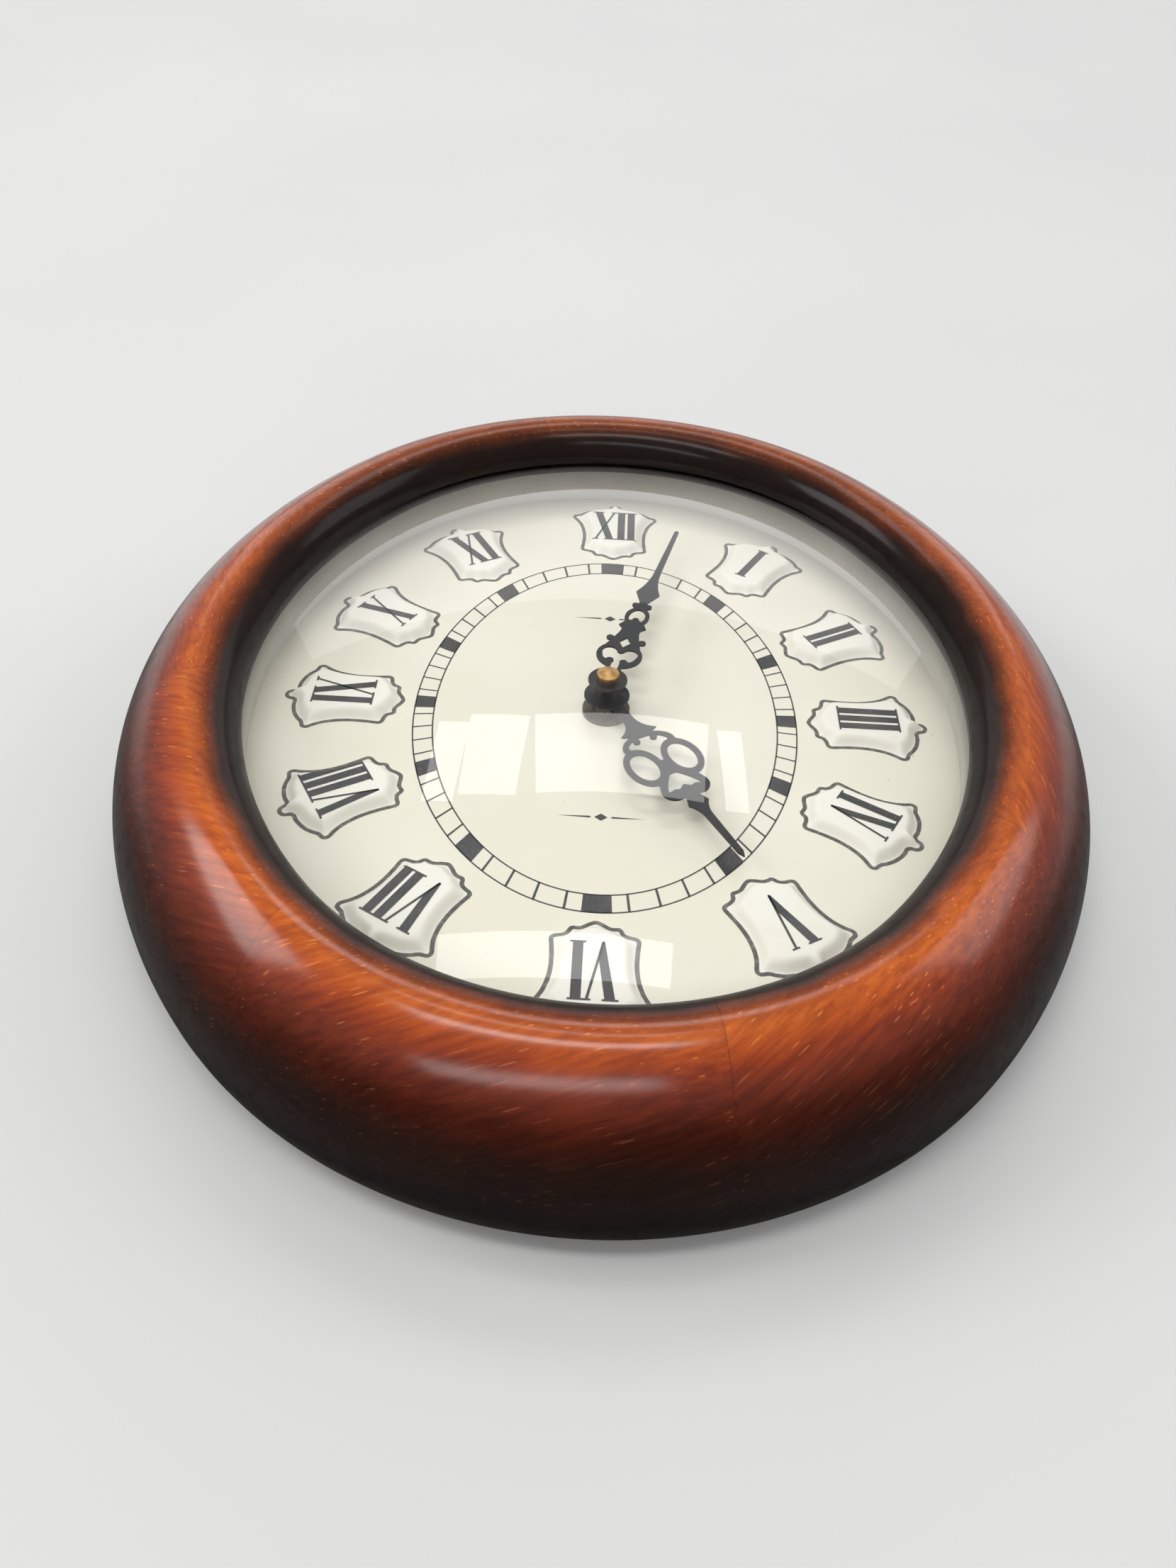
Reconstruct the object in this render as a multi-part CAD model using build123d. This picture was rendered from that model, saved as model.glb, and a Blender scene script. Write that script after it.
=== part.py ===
from build123d import *
import math
import os

# Oval wall clock with a battery movement. Millimetres.
# Modelled lying on its back: x to 3 o'clock, y to 12 o'clock, z from the wall towards the viewer,
# with z = 0 on the wall and the hands' axis on x = y = 0. Every piece is stood upright when it is written,
# so the written frame has +Z up to 12 o'clock and the dial facing -Y.

# Clearances
run_gap = 0.4           # end play between turning pieces
bearing_gap = 0.05      # radial play of a shaft in its hole
seat_gap = 0.3          # loose pieces lying in a pocket
screw_gap = 0.05        # radial play of a screw in its hole
push_gap = 0.02         # radial play of a pushed-on collet
end_gap = 0.2           # beyond the end of a shaft or screw

# Wooden ring
opening_half_width = 95.0
opening_half_height = 114.0
end_radius = 84.0       # radius of the opening's top and bottom arcs
ring_width = 34.5
belly_radius = 35.0     # big round of the front
belly_height = 14.0     # height of the widest line above the wall
lip_round = 10.5        # round from the crown into the opening
under_round = 20.0      # round from the widest line to the wall
rebate_width = 5.0      # step behind the lip that holds glass, spacer and dial
ledge_width = 9.0       # step behind the dial that the clips are screwed to
lip_gap = 0.25          # play between glass and lip

# Glass, spacer and dial
glass_rise = 16.0
glass_thickness = 2.0
glass_height = 10.0     # from the dial to the glass edge
rim_play = 0.4          # between the rebate wall and what lies in it
spacer_reveal = 0.8     # how far the spacer stands back from the opening
dial_thickness = 1.5
shield_rise = 2.4
shield_top_share = 0.84

# Numeral shields: hour positions on the dial, and half of the outline (across, outwards)
shield_top = 93.0       # 12 and 6
shield_high = (44.0, 75.0)
shield_low = (65.9, 38.5)
shield_side = 71.8      # 3 and 9
shield_tip = -16.4
shield_lobe = (3.4, -15.4)
shield_scallop = (6.2, -14.6)
shield_notch = (7.8, -12.6)
shield_foot = (10.25, -11.8)
shield_waist = (9.85, -5.0)
shield_ear = (13.5, 7.5)
shield_shoulder = (11.2, 9.8)
shield_brow = (7.4, 12.2)
shield_crest = (2.4, 13.9)
shield_finial = 16.8

# Dial clips and hanger
clip_count = 6
clip_width = 12.0
clip_overlap = 7.0      # over the dial's edge
clip_thickness = 0.8
screw_radius = 1.1
screw_head_radius = 2.5
screw_head_height = 1.4
screw_slot_width = 0.8
screw_slot_depth = 0.6
screw_depth = 9.0
plate_corner = 2.0      # corner round of clips and hanger
hanger_width = 44.0
hanger_height = 11.0
hanger_thickness = 1.2
hanger_hole_radius = 3.6
hanger_slot_radius = 1.8
hanger_slot_rise = 3.2
hanger_drop = 0.8       # below the middle of the ring's back
hanger_screw_inset = 6.0
nail_room = 8.0

# Battery movement
battery_radius = 7.1
battery_length = 50.5
nub_radius = 2.7
nub_length = 1.2
battery_round = 0.6
contact_room = 1.55     # at each end of the battery
contact_thickness = 0.4
contact_pad = 10.0
strip_width = 3.0
tongue_width = 1.6
case_wall = 1.2
case_front_wall = 1.0
cover_thickness = 1.5
cover_rim = 1.0         # locating rim inside the case, as thick as it is high
hook_width = 6.0
hook_length = 4.0
hook_thickness = 1.0
rim_drop = 0.5          # battery below the rim of its bay
case_above = 28.0       # from the arbor to the top of the case
wall_room = 3.5         # between the case and the wall
knob_height = 2.0
knob_radius = 6.0
knob_notches = 12
knob_notch_radius = 0.7
washer_thickness = 1.0
washer_radius = 8.0
bush_radius = 3.1
bush_reach = 4.0        # in front of the dial
nut_flange_radius = 6.5
nut_flange = 1.4
nut_barrel_radius = 3.9
nut_slot = 1.6
nut_slot_turns = (30, 120)

# Wheels: tooth shape in modules and in shares of the step, teeth and modules
tooth_height = 0.75
tooth_depth = 1.1
tooth_foot = 0.25
tooth_crest = 0.1
motion_module = 0.45
cannon_teeth = 10
minute_wheel_teeth = 30
minute_pinion_teeth = 8
hour_wheel_teeth = 32
train_module = 0.3
pinion_teeth = 8
centre_teeth = 64
third_teeth = 60
fourth_teeth = 40
fifth_teeth = 36
rotor_teeth = 6
minute_wheel_bearing = 170.0    # degrees from x, seen from the arbor
knob_bearing = 154.0            # seen from the minute wheel
third_bearing = 16.0            # seen from the arbor
fifth_bearing = 110.0           # seen from the arbor
rotor_bearing = 80.0            # seen from the fifth wheel
hour_wheel_thickness = 1.1
wheel_thickness = 0.8
arbor_radius = 0.8
pivot_radius = 0.5
pivot_length = 1.1
stud_radius = 0.9
boss_radius = 1.6
minute_shaft_radius = 1.5
pipe_radius = 2.4
clutch_thickness = 0.25
clutch_radius = 3.6
plate_thickness = 1.0
post_radius = 2.0
peg_radius = 0.9

# Motor and electronics
magnet_radius = 2.4
magnet_length = 1.6
stator_thickness = 1.0
stator_bore_gap = 0.5
stator_eye = 1.7        # metal left round the stator's hole
stator_band = 2.8
stator_reach = 15.0     # half width
stator_arm = 3.0
stator_screw_depth = 5.0
coil_radius = 3.4
coil_length = 20.0
bobbin_flange = 0.8
winding_step = 0.4      # winding below the bobbin's flanges
core_height = 2.0
board_width = 22.0
board_height = 12.0
board_thickness = 0.8
board_stand = 0.9
pad_radius = 1.2
pad_inset = 2.0
chip_radius = 2.5
chip_height = 1.0
crystal_radius = 1.0
crystal_length = 6.0

# Hands: heights above the dial, directions clockwise from 12
hand_thickness = 0.5
hour_hand_height = 5.6
minute_hand_height = 10.8
hour_direction = 149.5
minute_direction = 14.2
hour_eye_radius = 6.2
minute_eye_radius = 5.3
collet_height = 1.0
hour_collet_radius = 3.6
minute_collet_radius = 3.0
cap_radius = 3.0
cap_rim = 2.0
cap_height = 2.75
cap_stud_radius = 1.2
cap_stud = 1.9
cap_tip_radius = 0.35
minute_hand_length = 79.8
hour_hand_length = 68.3

# Heights above the wall that follow from the sizes
case_depth = case_front_wall + seat_gap + 2 * battery_radius + rim_drop
case_back = wall_room
case_front = case_back + case_depth
case_inside = case_front - case_front_wall
cover_inside = case_back + cover_thickness
dial_back = case_front + washer_thickness
dial_front = dial_back + dial_thickness
glass_edge = dial_front + glass_height
hour_wheel_top = case_inside - run_gap
hour_wheel_base = hour_wheel_top - hour_wheel_thickness
minute_wheel_top = hour_wheel_base - run_gap
minute_wheel_base = minute_wheel_top - wheel_thickness
centre_top = minute_wheel_base - 1.5 * run_gap
centre_base = centre_top - wheel_thickness
clutch_base = centre_base - clutch_thickness
clutch_lip_base = clutch_base - run_gap
plate_top = clutch_lip_base - run_gap
plate_base = plate_top - plate_thickness
third_top = plate_base - run_gap
third_base = third_top - wheel_thickness
fourth_top = third_base - run_gap
fourth_base = fourth_top - wheel_thickness
fifth_top = fourth_base - run_gap
fifth_base = fifth_top - wheel_thickness
magnet_top = plate_base - run_gap
magnet_base = magnet_top - magnet_length
stator_top = magnet_top - (magnet_length - stator_thickness) / 2
stator_base = stator_top - stator_thickness
core_base = stator_base - core_height / 2
coil_height = stator_base - core_height / 4
pipe_end = dial_front + hour_hand_height + hand_thickness
bush_end = dial_front + bush_reach
minute_hand_base = dial_front + minute_hand_height
shaft_end = minute_hand_base + hand_thickness


# Wheel places that follow from the tooth counts
def on_bearing(start, distance, bearing):
    turn = math.radians(bearing)
    return (start[0] + distance * math.cos(turn), start[1] + distance * math.sin(turn))


def mesh_distance(module, teeth_a, teeth_b):
    return module * (teeth_a + teeth_b) / 2


arbor_at = (0.0, 0.0)
motion_distance = mesh_distance(motion_module, cannon_teeth, minute_wheel_teeth)
third_distance = mesh_distance(train_module, centre_teeth, pinion_teeth)
fourth_module = 2 * third_distance / (third_teeth + pinion_teeth)
fifth_distance = mesh_distance(train_module, fourth_teeth, pinion_teeth)
rotor_distance = mesh_distance(train_module, fifth_teeth, rotor_teeth)
minute_wheel_at = on_bearing(arbor_at, motion_distance, minute_wheel_bearing)
knob_at = on_bearing(minute_wheel_at, motion_distance, knob_bearing)
third_at = on_bearing(arbor_at, third_distance, third_bearing)
fifth_at = on_bearing(arbor_at, fifth_distance, fifth_bearing)
rotor_at = on_bearing(fifth_at, rotor_distance, rotor_bearing)
centre_tip = train_module * (centre_teeth / 2 + 1)

# Case outline that follows from the wheels and the battery
bay_top = -(centre_tip + 1.5 * run_gap)
bay_inner_top = bay_top - case_wall
battery_y = bay_inner_top - seat_gap - battery_radius
case_bottom = battery_y - battery_radius - seat_gap - case_wall
case_half = battery_length / 2 + contact_room + case_wall
battery_z = case_inside - seat_gap - battery_radius
post_x = centre_tip + post_radius + 3 * run_gap
post_low = bay_top + post_radius + run_gap
post_high = post_x - run_gap
stator_band_base = rotor_at[1] + stator_eye
coil_y = rotor_at[1] + magnet_radius + stator_bore_gap + stator_eye + coil_radius + run_gap
stator_post_x = stator_reach - stator_arm / 2
board_base = case_above - case_wall - seat_gap - board_height
board_top_z = case_inside - board_stand
board_base_z = board_top_z - board_thickness
strip_z = board_base_z - strip_width / 2

# Ring section that follows from the rounds; across is measured outwards from the opening
side_radius = (opening_half_width ** 2 + (opening_half_height - end_radius) ** 2 - end_radius ** 2) / (
    2 * (opening_half_width - end_radius))
end_centre = opening_half_height - end_radius
side_centre = side_radius - opening_half_width
join_angle = math.degrees(math.atan2(end_centre, side_centre))
belly_centre = (ring_width - belly_radius, belly_height)
lip_lift = math.sqrt((belly_radius - lip_round) ** 2 - (lip_round - belly_centre[0]) ** 2)
lip_centre = (lip_round, belly_height + lip_lift)
under_centre = (ring_width - under_round, belly_height)
back_edge = under_centre[0] + math.sqrt(under_round ** 2 - belly_height ** 2)
ledge_edge = rebate_width + ledge_width
glass_half_height = opening_half_height + rebate_width - rim_play
glass_half_width = opening_half_width + rebate_width - rim_play
hanger_y = opening_half_height + (ledge_edge + back_edge) / 2 - hanger_drop
hanger_base = screw_head_height + end_gap
hanger_top = hanger_base + hanger_thickness


def glass_drop(share):
    """Height of the glass's outside below its top, at a share of the way out to its rim."""
    ball = (glass_half_height ** 2 + glass_rise ** 2) / (2 * glass_rise)
    return ball - math.sqrt(ball ** 2 - (share * glass_half_height) ** 2)


glass_top = glass_edge + glass_thickness + glass_rise
lip_back = glass_top - glass_drop(opening_half_width / glass_half_width) + lip_gap


# Building blocks
def rod(radius, low, high, at=(0.0, 0.0)):
    upright = (Align.CENTER, Align.CENTER, Align.MIN)
    return Pos(at[0], at[1], low) * Cylinder(radius, high - low, align=upright)


def block(x, y, z):
    size = Box(x[1] - x[0], y[1] - y[0], z[1] - z[0], align=(Align.MIN, Align.MIN, Align.MIN))
    return Pos(x[0], y[0], z[0]) * size


def slab(sketch, low, high):
    return Pos(0, 0, low) * extrude(sketch, amount=high - low)


def around(centre, radius, degrees):
    turn = math.radians(degrees)
    return (centre[0] + radius * math.cos(turn), centre[1] + radius * math.sin(turn))


def oval(grow):
    """The opening's four-arc oval, grown outwards."""
    corner = around((-side_centre, 0), side_radius + grow, join_angle)
    half_width = opening_half_width + grow
    half_height = opening_half_height + grow
    right = ThreePointArc((corner[0], -corner[1]), (half_width, 0), corner)
    top = ThreePointArc(corner, (0, half_height), (-corner[0], corner[1]))
    left = ThreePointArc((-corner[0], corner[1]), (-half_width, 0), (-corner[0], -corner[1]))
    foot = ThreePointArc((-corner[0], -corner[1]), (0, -half_height), (corner[0], -corner[1]))
    return make_face([right, top, left, foot])


def rim_place(bearing, grow, height):
    """A place on the grown oval whose outward direction has this bearing."""
    across = abs(math.cos(math.radians(bearing)))
    if across >= math.cos(math.radians(join_angle)):
        centre = (-side_centre * math.copysign(1, math.cos(math.radians(bearing))), 0)
        radius = side_radius + grow
    else:
        centre = (0, end_centre * math.copysign(1, math.sin(math.radians(bearing))))
        radius = end_radius + grow
    spot = around(centre, radius, bearing)
    return Pos(spot[0], spot[1], height) * Rot(Z=bearing)


def gear(teeth, module, low, high, at, phase=0.0):
    """A toothed disc; one tooth points along the phase angle."""
    pitch_radius = module * teeth / 2
    root = pitch_radius - tooth_depth * module
    tip = pitch_radius + tooth_height * module
    step = 360 / teeth
    points = []
    for tooth in range(teeth):
        middle = phase + tooth * step
        points.append(around(at, root, middle - tooth_foot * step))
        points.append(around(at, tip, middle - tooth_crest * step))
        points.append(around(at, tip, middle + tooth_crest * step))
        points.append(around(at, root, middle + tooth_foot * step))
    return slab(make_face(Polyline(*points, close=True)), low, high)


def mesh_phase(teeth, phase, bearing, other_teeth):
    """Phase of the wheel that meshes with a wheel of this phase, in this direction from it."""
    return bearing + 180 - teeth / other_teeth * (phase - bearing) - 180 / other_teeth


# Ring, glass and dial
def ring_section(radius):
    def at(point):
        return (radius + point[0], point[1])

    touch = math.degrees(math.atan2(lip_lift, lip_round - belly_centre[0]))
    under = math.degrees(math.atan2(-belly_height, back_edge - under_centre[0]))
    crown = around(belly_centre, belly_radius, touch)
    widest = (ring_width, belly_height)
    lip_start = (0, lip_centre[1])
    outline = [
        Line(at((0, lip_back)), at(lip_start)),
        ThreePointArc(at(lip_start), at(around(lip_centre, lip_round, (180 + touch) / 2)), at(crown)),
        ThreePointArc(at(crown), at(around(belly_centre, belly_radius, touch / 2)), at(widest)),
        ThreePointArc(at(widest), at(around(under_centre, under_round, under / 2)), at((back_edge, 0))),
        Polyline(at((back_edge, 0)), at((ledge_edge, 0)), at((ledge_edge, dial_back)),
                 at((rebate_width, dial_back)), at((rebate_width, lip_back)), at((0, lip_back))),
    ]
    return make_face(outline)


def ring_stretch(centre, radius, start, sweep_angle):
    turn = math.radians(start)
    out = (math.cos(turn), math.sin(turn), 0)
    side = (math.sin(turn), -math.cos(turn), 0)
    plane = Plane(origin=(centre[0], centre[1], 0), x_dir=out, z_dir=side)
    axis = Axis((centre[0], centre[1], 0), (0, 0, 1))
    return revolve(plane * ring_section(radius), axis=axis, revolution_arc=sweep_angle)


def screw_places():
    grow = rebate_width + ledge_width / 2
    return [rim_place(90 + 360 / clip_count * i, grow, 0) for i in range(clip_count)]


def hanger_outline(grow):
    width = hanger_width + 2 * grow
    height = hanger_height + 2 * grow
    return Pos(0, hanger_y) * RectangleRounded(width, height, plate_corner + grow)


def hanger_screw_places():
    reach = hanger_width / 2 - hanger_screw_inset
    return [Pos(side * reach, hanger_y, 0) for side in (-1, 1)]


def wood_ring():
    end_sweep = 180 - 2 * join_angle
    ring = ring_stretch((-side_centre, 0), side_radius, -join_angle, 2 * join_angle)
    ring += ring_stretch((0, end_centre), end_radius, join_angle, end_sweep)
    ring += ring_stretch((side_centre, 0), side_radius, 180 - join_angle, 2 * join_angle)
    ring += ring_stretch((0, -end_centre), end_radius, 180 + join_angle, end_sweep)
    for place in screw_places():
        ring -= place * rod(screw_radius + screw_gap, dial_back, dial_back + screw_depth)
    ring -= slab(hanger_outline(seat_gap), 0, hanger_top)
    for place in hanger_screw_places():
        ring -= place * rod(screw_radius + screw_gap, hanger_top, hanger_top + screw_depth)
    room = hanger_hole_radius + hanger_slot_rise
    ring -= block((-room, room), (hanger_y - hanger_hole_radius, hanger_y + hanger_height / 2),
                  (hanger_top, hanger_top + nail_room))
    return ring


def glass_dome():
    reach = glass_half_height
    outside = (reach ** 2 + glass_rise ** 2) / (2 * glass_rise)
    outer = Pos(0, 0, glass_top - outside) * Sphere(outside)
    inner = Pos(0, 0, glass_top - outside - glass_thickness) * Sphere(outside)
    dome = rod(reach, glass_edge, glass_top + glass_rise) & outer
    dome -= inner
    return scale(dome, by=(glass_half_width / glass_half_height, 1, 1))


def spacer_ring():
    return slab(oval(rebate_width - rim_play) - oval(spacer_reveal), dial_front, glass_edge)


def shield_outline(share):
    def at(point, side=1):
        return (side * share * point[0], share * point[1])

    half = []
    for side in (1, -1):
        half.append([
            ThreePointArc(at((0, shield_tip)), at(shield_lobe, side), at(shield_scallop, side)),
            ThreePointArc(at(shield_scallop, side), at(shield_notch, side), at(shield_foot, side)),
            ThreePointArc(at(shield_foot, side), at(shield_waist, side), at(shield_ear, side)),
            Line(at(shield_ear, side), at(shield_shoulder, side)),
            ThreePointArc(at(shield_shoulder, side), at(shield_brow, side), at(shield_crest, side)),
            Line(at(shield_crest, side), at((0, shield_finial))),
        ])
    return make_face(half[0] + half[1])


def shield_places():
    """The twelve shields: place on the dial and the direction their heads point to."""
    spots = []
    for hour in range(12):
        turn = 30 * hour
        right = 1 if hour < 6 else -1
        up = 1 if hour < 3 or hour > 9 else -1
        if hour % 6 == 0:
            spot = (0, shield_top * up)
        elif hour % 6 == 3:
            spot = (shield_side * right, 0)
        elif hour % 6 in (1, 5):
            spot = (shield_high[0] * right, shield_high[1] * up)
        else:
            spot = (shield_low[0] * right, shield_low[1] * up)
        spots.append(Pos(spot[0], spot[1], 0) * Rot(Z=-turn))
    return spots


def dial_plate():
    sheet = oval(rebate_width - rim_play) - Circle(bush_radius + 2 * bearing_gap)
    dial = slab(sheet, dial_back, dial_front)
    foot = Pos(0, 0, dial_front) * shield_outline(1)
    head = Pos(0, 0, dial_front + shield_rise) * shield_outline(shield_top_share)
    shield = loft([foot, head], ruled=True)
    for place in shield_places():
        dial += place * shield
    return dial


def dial_clips():
    inner = -(rebate_width + ledge_width / 2 - (rebate_width - rim_play)) - clip_overlap
    outline = Pos((inner + ledge_width / 2 - seat_gap) / 2, 0) * RectangleRounded(
        ledge_width / 2 - seat_gap - inner, clip_width, plate_corner)
    clip = slab(outline - Circle(screw_radius + screw_gap), dial_back - clip_thickness, dial_back)
    return Compound([place * clip for place in screw_places()])


def screw(low, length):
    """A round-headed screw that points away from the wall, with a driver slot."""
    head = rod(screw_head_radius, low, low + screw_head_height)
    slot = screw_slot_width / 2
    head -= block((-screw_head_radius, screw_head_radius), (-slot, slot), (low, low + screw_slot_depth))
    return head + rod(screw_radius, low + screw_head_height, low + screw_head_height + length)


def clip_screws():
    head_base = dial_back - clip_thickness - screw_head_height
    fastener = screw(head_base, clip_thickness + screw_depth - seat_gap)
    return Compound([place * fastener for place in screw_places()])


def hanger_plate():
    keyhole = Pos(0, hanger_y) * Circle(hanger_hole_radius)
    keyhole += Pos(0, hanger_y + hanger_slot_rise / 2) * Rectangle(2 * hanger_slot_radius, hanger_slot_rise)
    keyhole += Pos(0, hanger_y + hanger_slot_rise) * Circle(hanger_slot_radius)
    outline = hanger_outline(0) - keyhole
    for place in hanger_screw_places():
        outline -= place * Circle(screw_radius + screw_gap)
    return slab(outline, hanger_base, hanger_top)


def hanger_screws():
    fastener = screw(hanger_base - screw_head_height, hanger_thickness + screw_depth - seat_gap)
    return Compound([place * fastener for place in hanger_screw_places()])


# Movement shell
def post_places():
    return [(side * post_x, level) for side in (-1, 1) for level in (post_low, post_high)]


def stator_post_places():
    return [(side * stator_post_x, coil_y) for side in (-1, 1)]


def board_pad_places():
    reach = board_width / 2 - pad_inset
    levels = (board_base + pad_inset, board_base + board_height - pad_inset)
    return [(side * reach, level) for side in (-1, 1) for level in levels]


def movement_case():
    outer = block((-case_half, case_half), (case_bottom, case_above), (case_back, case_front))
    inner_half = case_half - case_wall
    inside = (case_back, case_inside)
    wheels = block((-inner_half, inner_half), (bay_top, case_above - case_wall), inside)
    seat = block((-case_half, case_half), (bay_inner_top, case_above), (case_back, cover_inside))
    bay = block((-inner_half, inner_half), (case_bottom + case_wall, bay_inner_top), inside)
    case = outer - wheels - seat - bay
    strip_half = strip_width / 2 + seat_gap
    for side in (-1, 1):
        edge = sorted((side * (inner_half - contact_thickness - seat_gap), side * inner_half))
        case -= block(edge, (bay_inner_top, bay_top), (strip_z - strip_half, strip_z + strip_half))
    case += rod(bush_radius, case_inside, bush_end)
    case -= rod(pipe_radius + bearing_gap, case_inside - run_gap, bush_end)
    for spot in post_places():
        case += rod(post_radius, plate_top, case_inside, spot)
        case += rod(peg_radius, plate_base + run_gap / 2, plate_top, spot)
    for spot in stator_post_places():
        case += rod(post_radius, stator_top, case_inside, spot)
        case -= rod(screw_radius + screw_gap, stator_top, stator_top + stator_screw_depth, spot)
    for spot in board_pad_places():
        case += rod(pad_radius, board_top_z, case_inside, spot)
    case += rod(stud_radius, minute_wheel_base, case_inside, minute_wheel_at)
    for spot in (third_at, knob_at):
        case += rod(boss_radius, case_inside - pivot_length, case_inside, spot)
        case -= rod(pivot_radius + bearing_gap, case_inside - pivot_length, case_inside + end_gap, spot)
    return case


def movement_cover():
    cover = block((-case_half, case_half), (bay_inner_top, case_above), (case_back, cover_inside))
    rim_half = case_half - case_wall - seat_gap
    low = bay_top + seat_gap
    high = case_above - case_wall - seat_gap
    rim_z = (cover_inside, cover_inside + cover_rim)
    inner_half = rim_half - cover_rim
    rim = block((-rim_half, rim_half), (low, high), rim_z)
    cover += rim - block((-inner_half, inner_half), (low + cover_rim, high - cover_rim), rim_z)
    for spot in (arbor_at, third_at, fifth_at, rotor_at):
        cover += rod(boss_radius, cover_inside, cover_inside + pivot_length, spot)
        cover -= rod(pivot_radius + bearing_gap, cover_inside - end_gap, cover_inside + pivot_length, spot)
    cover -= rod(minute_shaft_radius + bearing_gap, case_back, cover_inside, knob_at)
    for side in (-1, 1):
        for level in (0, case_above / 2):
            edge = sorted((side * case_half, side * (case_half + hook_thickness)))
            cover += block(edge, (level, level + hook_width), (case_back, cover_inside + hook_length))
    return cover


def rubber_washer():
    return slab(Circle(washer_radius) - Circle(bush_radius + bearing_gap), case_front, dial_back)


def fixing_nut():
    top = bush_end + end_gap
    nut = rod(nut_flange_radius, dial_front, dial_front + nut_flange)
    nut += rod(nut_barrel_radius, dial_front + nut_flange, top)
    nut -= rod(bush_radius + bearing_gap, dial_front, top)
    for turn in nut_slot_turns:
        slot = block((-nut_barrel_radius, nut_barrel_radius), (-nut_slot / 2, nut_slot / 2),
                     (dial_front + nut_flange + end_gap, top))
        nut -= Rot(Z=turn) * slot
    return nut


# Power, board and motor
def battery():
    can = rod(battery_radius, 0, battery_length - nub_length)
    can = fillet(can.edges(), battery_round)
    cell = can + rod(nub_radius, battery_length - nub_length, battery_length)
    return Pos(-battery_length / 2, battery_y, battery_z) * Rot(Y=90) * cell


def contact_strip(side):
    """A bent strip from the battery's end, up the case's side to the circuit board."""
    inner_half = case_half - case_wall
    wall = sorted((side * (inner_half - contact_thickness), side * inner_half))
    reach = sorted((side * (board_width / 2 - pad_inset), side * inner_half))
    high = case_above - case_wall - seat_gap
    pad_half = contact_pad / 2
    strip_top = strip_z + strip_width / 2
    pad = block(wall, (battery_y - pad_half, battery_y + pad_half), (battery_z - pad_half, strip_top))
    riser = block(wall, (battery_y, high), (strip_top - strip_width, strip_top))
    tongue = block(reach, (high - tongue_width, high), (board_base_z - contact_thickness, board_base_z))
    dimple_length = contact_room - contact_thickness - seat_gap
    dimple = Pos(side * (inner_half - contact_thickness), battery_y, battery_z) * Rot(Y=-90 * side) * rod(
        nub_radius, 0, dimple_length)
    return pad + riser + tongue + dimple


def positive_contact():
    return contact_strip(1)


def negative_contact():
    return contact_strip(-1)


def circuit_board():
    return block((-board_width / 2, board_width / 2), (board_base, board_base + board_height),
                 (board_base_z, board_top_z))


def timing_chip():
    spot = (board_width / 4, board_base + board_height / 2)
    return rod(chip_radius, board_base_z - chip_height, board_base_z, spot)


def quartz_crystal():
    can = Rot(Y=90) * rod(crystal_radius, 0, crystal_length)
    across = pad_inset - board_width / 2
    return Pos(across, board_base + board_height / 2, board_base_z - crystal_radius) * can


def stator_plate():
    eye = magnet_radius + stator_bore_gap
    outline = Pos(rotor_at[0], rotor_at[1]) * Circle(eye + stator_eye)
    outline += Pos(0, stator_band_base + stator_band / 2) * Rectangle(2 * stator_reach, stator_band)
    for side in (-1, 1):
        arm = coil_y + post_radius - stator_band_base
        outline += Pos(side * stator_post_x, stator_band_base + arm / 2) * Rectangle(stator_arm, arm)
    outline -= Pos(rotor_at[0], rotor_at[1]) * Circle(eye)
    for spot in stator_post_places():
        outline -= Pos(spot[0], spot[1]) * Circle(screw_radius + screw_gap)
    return slab(outline, stator_base, stator_top)


def coil_core():
    outline = Pos(0, coil_y) * Rectangle(2 * stator_reach, core_height)
    for spot in stator_post_places():
        outline += Pos(spot[0], spot[1]) * Rectangle(stator_arm, 2 * post_radius)
        outline -= Pos(spot[0], spot[1]) * Circle(screw_radius + screw_gap)
    return slab(outline, core_base, stator_base)


def coil_spool(radius, start, end):
    return Pos(start, coil_y, coil_height) * Rot(Y=90) * rod(radius, 0, end - start)


def coil_bobbin():
    half = coil_length / 2
    spool = coil_spool(coil_radius, -half, bobbin_flange - half)
    spool += coil_spool(coil_radius, half - bobbin_flange, half)
    spool += coil_spool(core_height, -half, half)
    hole = core_height / 2 + push_gap
    slot_z = (core_base - push_gap, stator_base + push_gap)
    return spool - block((-half, half), (coil_y - hole, coil_y + hole), slot_z)


def coil_winding():
    half = coil_length / 2 - bobbin_flange
    winding = coil_spool(coil_radius - winding_step, -half, half)
    return winding - coil_spool(core_height + push_gap, -half, half)


def stator_screws():
    grip = core_height / 2 + stator_thickness + stator_screw_depth - seat_gap
    fastener = screw(core_base - screw_head_height, grip)
    return Compound([Pos(spot[0], spot[1], 0) * fastener for spot in stator_post_places()])


# Wheels
def turned_arbor(at, back, front):
    """A plain arbor between two heights, with a thinner pivot at each end."""
    arbor = rod(arbor_radius, back, front, at)
    return arbor + rod(pivot_radius, back - pivot_length, front + pivot_length, at)


def cover_shoulder():
    return cover_inside + pivot_length + run_gap / 2


def plate_shoulder():
    return plate_base - run_gap / 2


def rotor_magnet():
    disc = Circle(magnet_radius) - Circle(arbor_radius + push_gap)
    return Pos(rotor_at[0], rotor_at[1], 0) * slab(disc, magnet_base, magnet_top)


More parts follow.
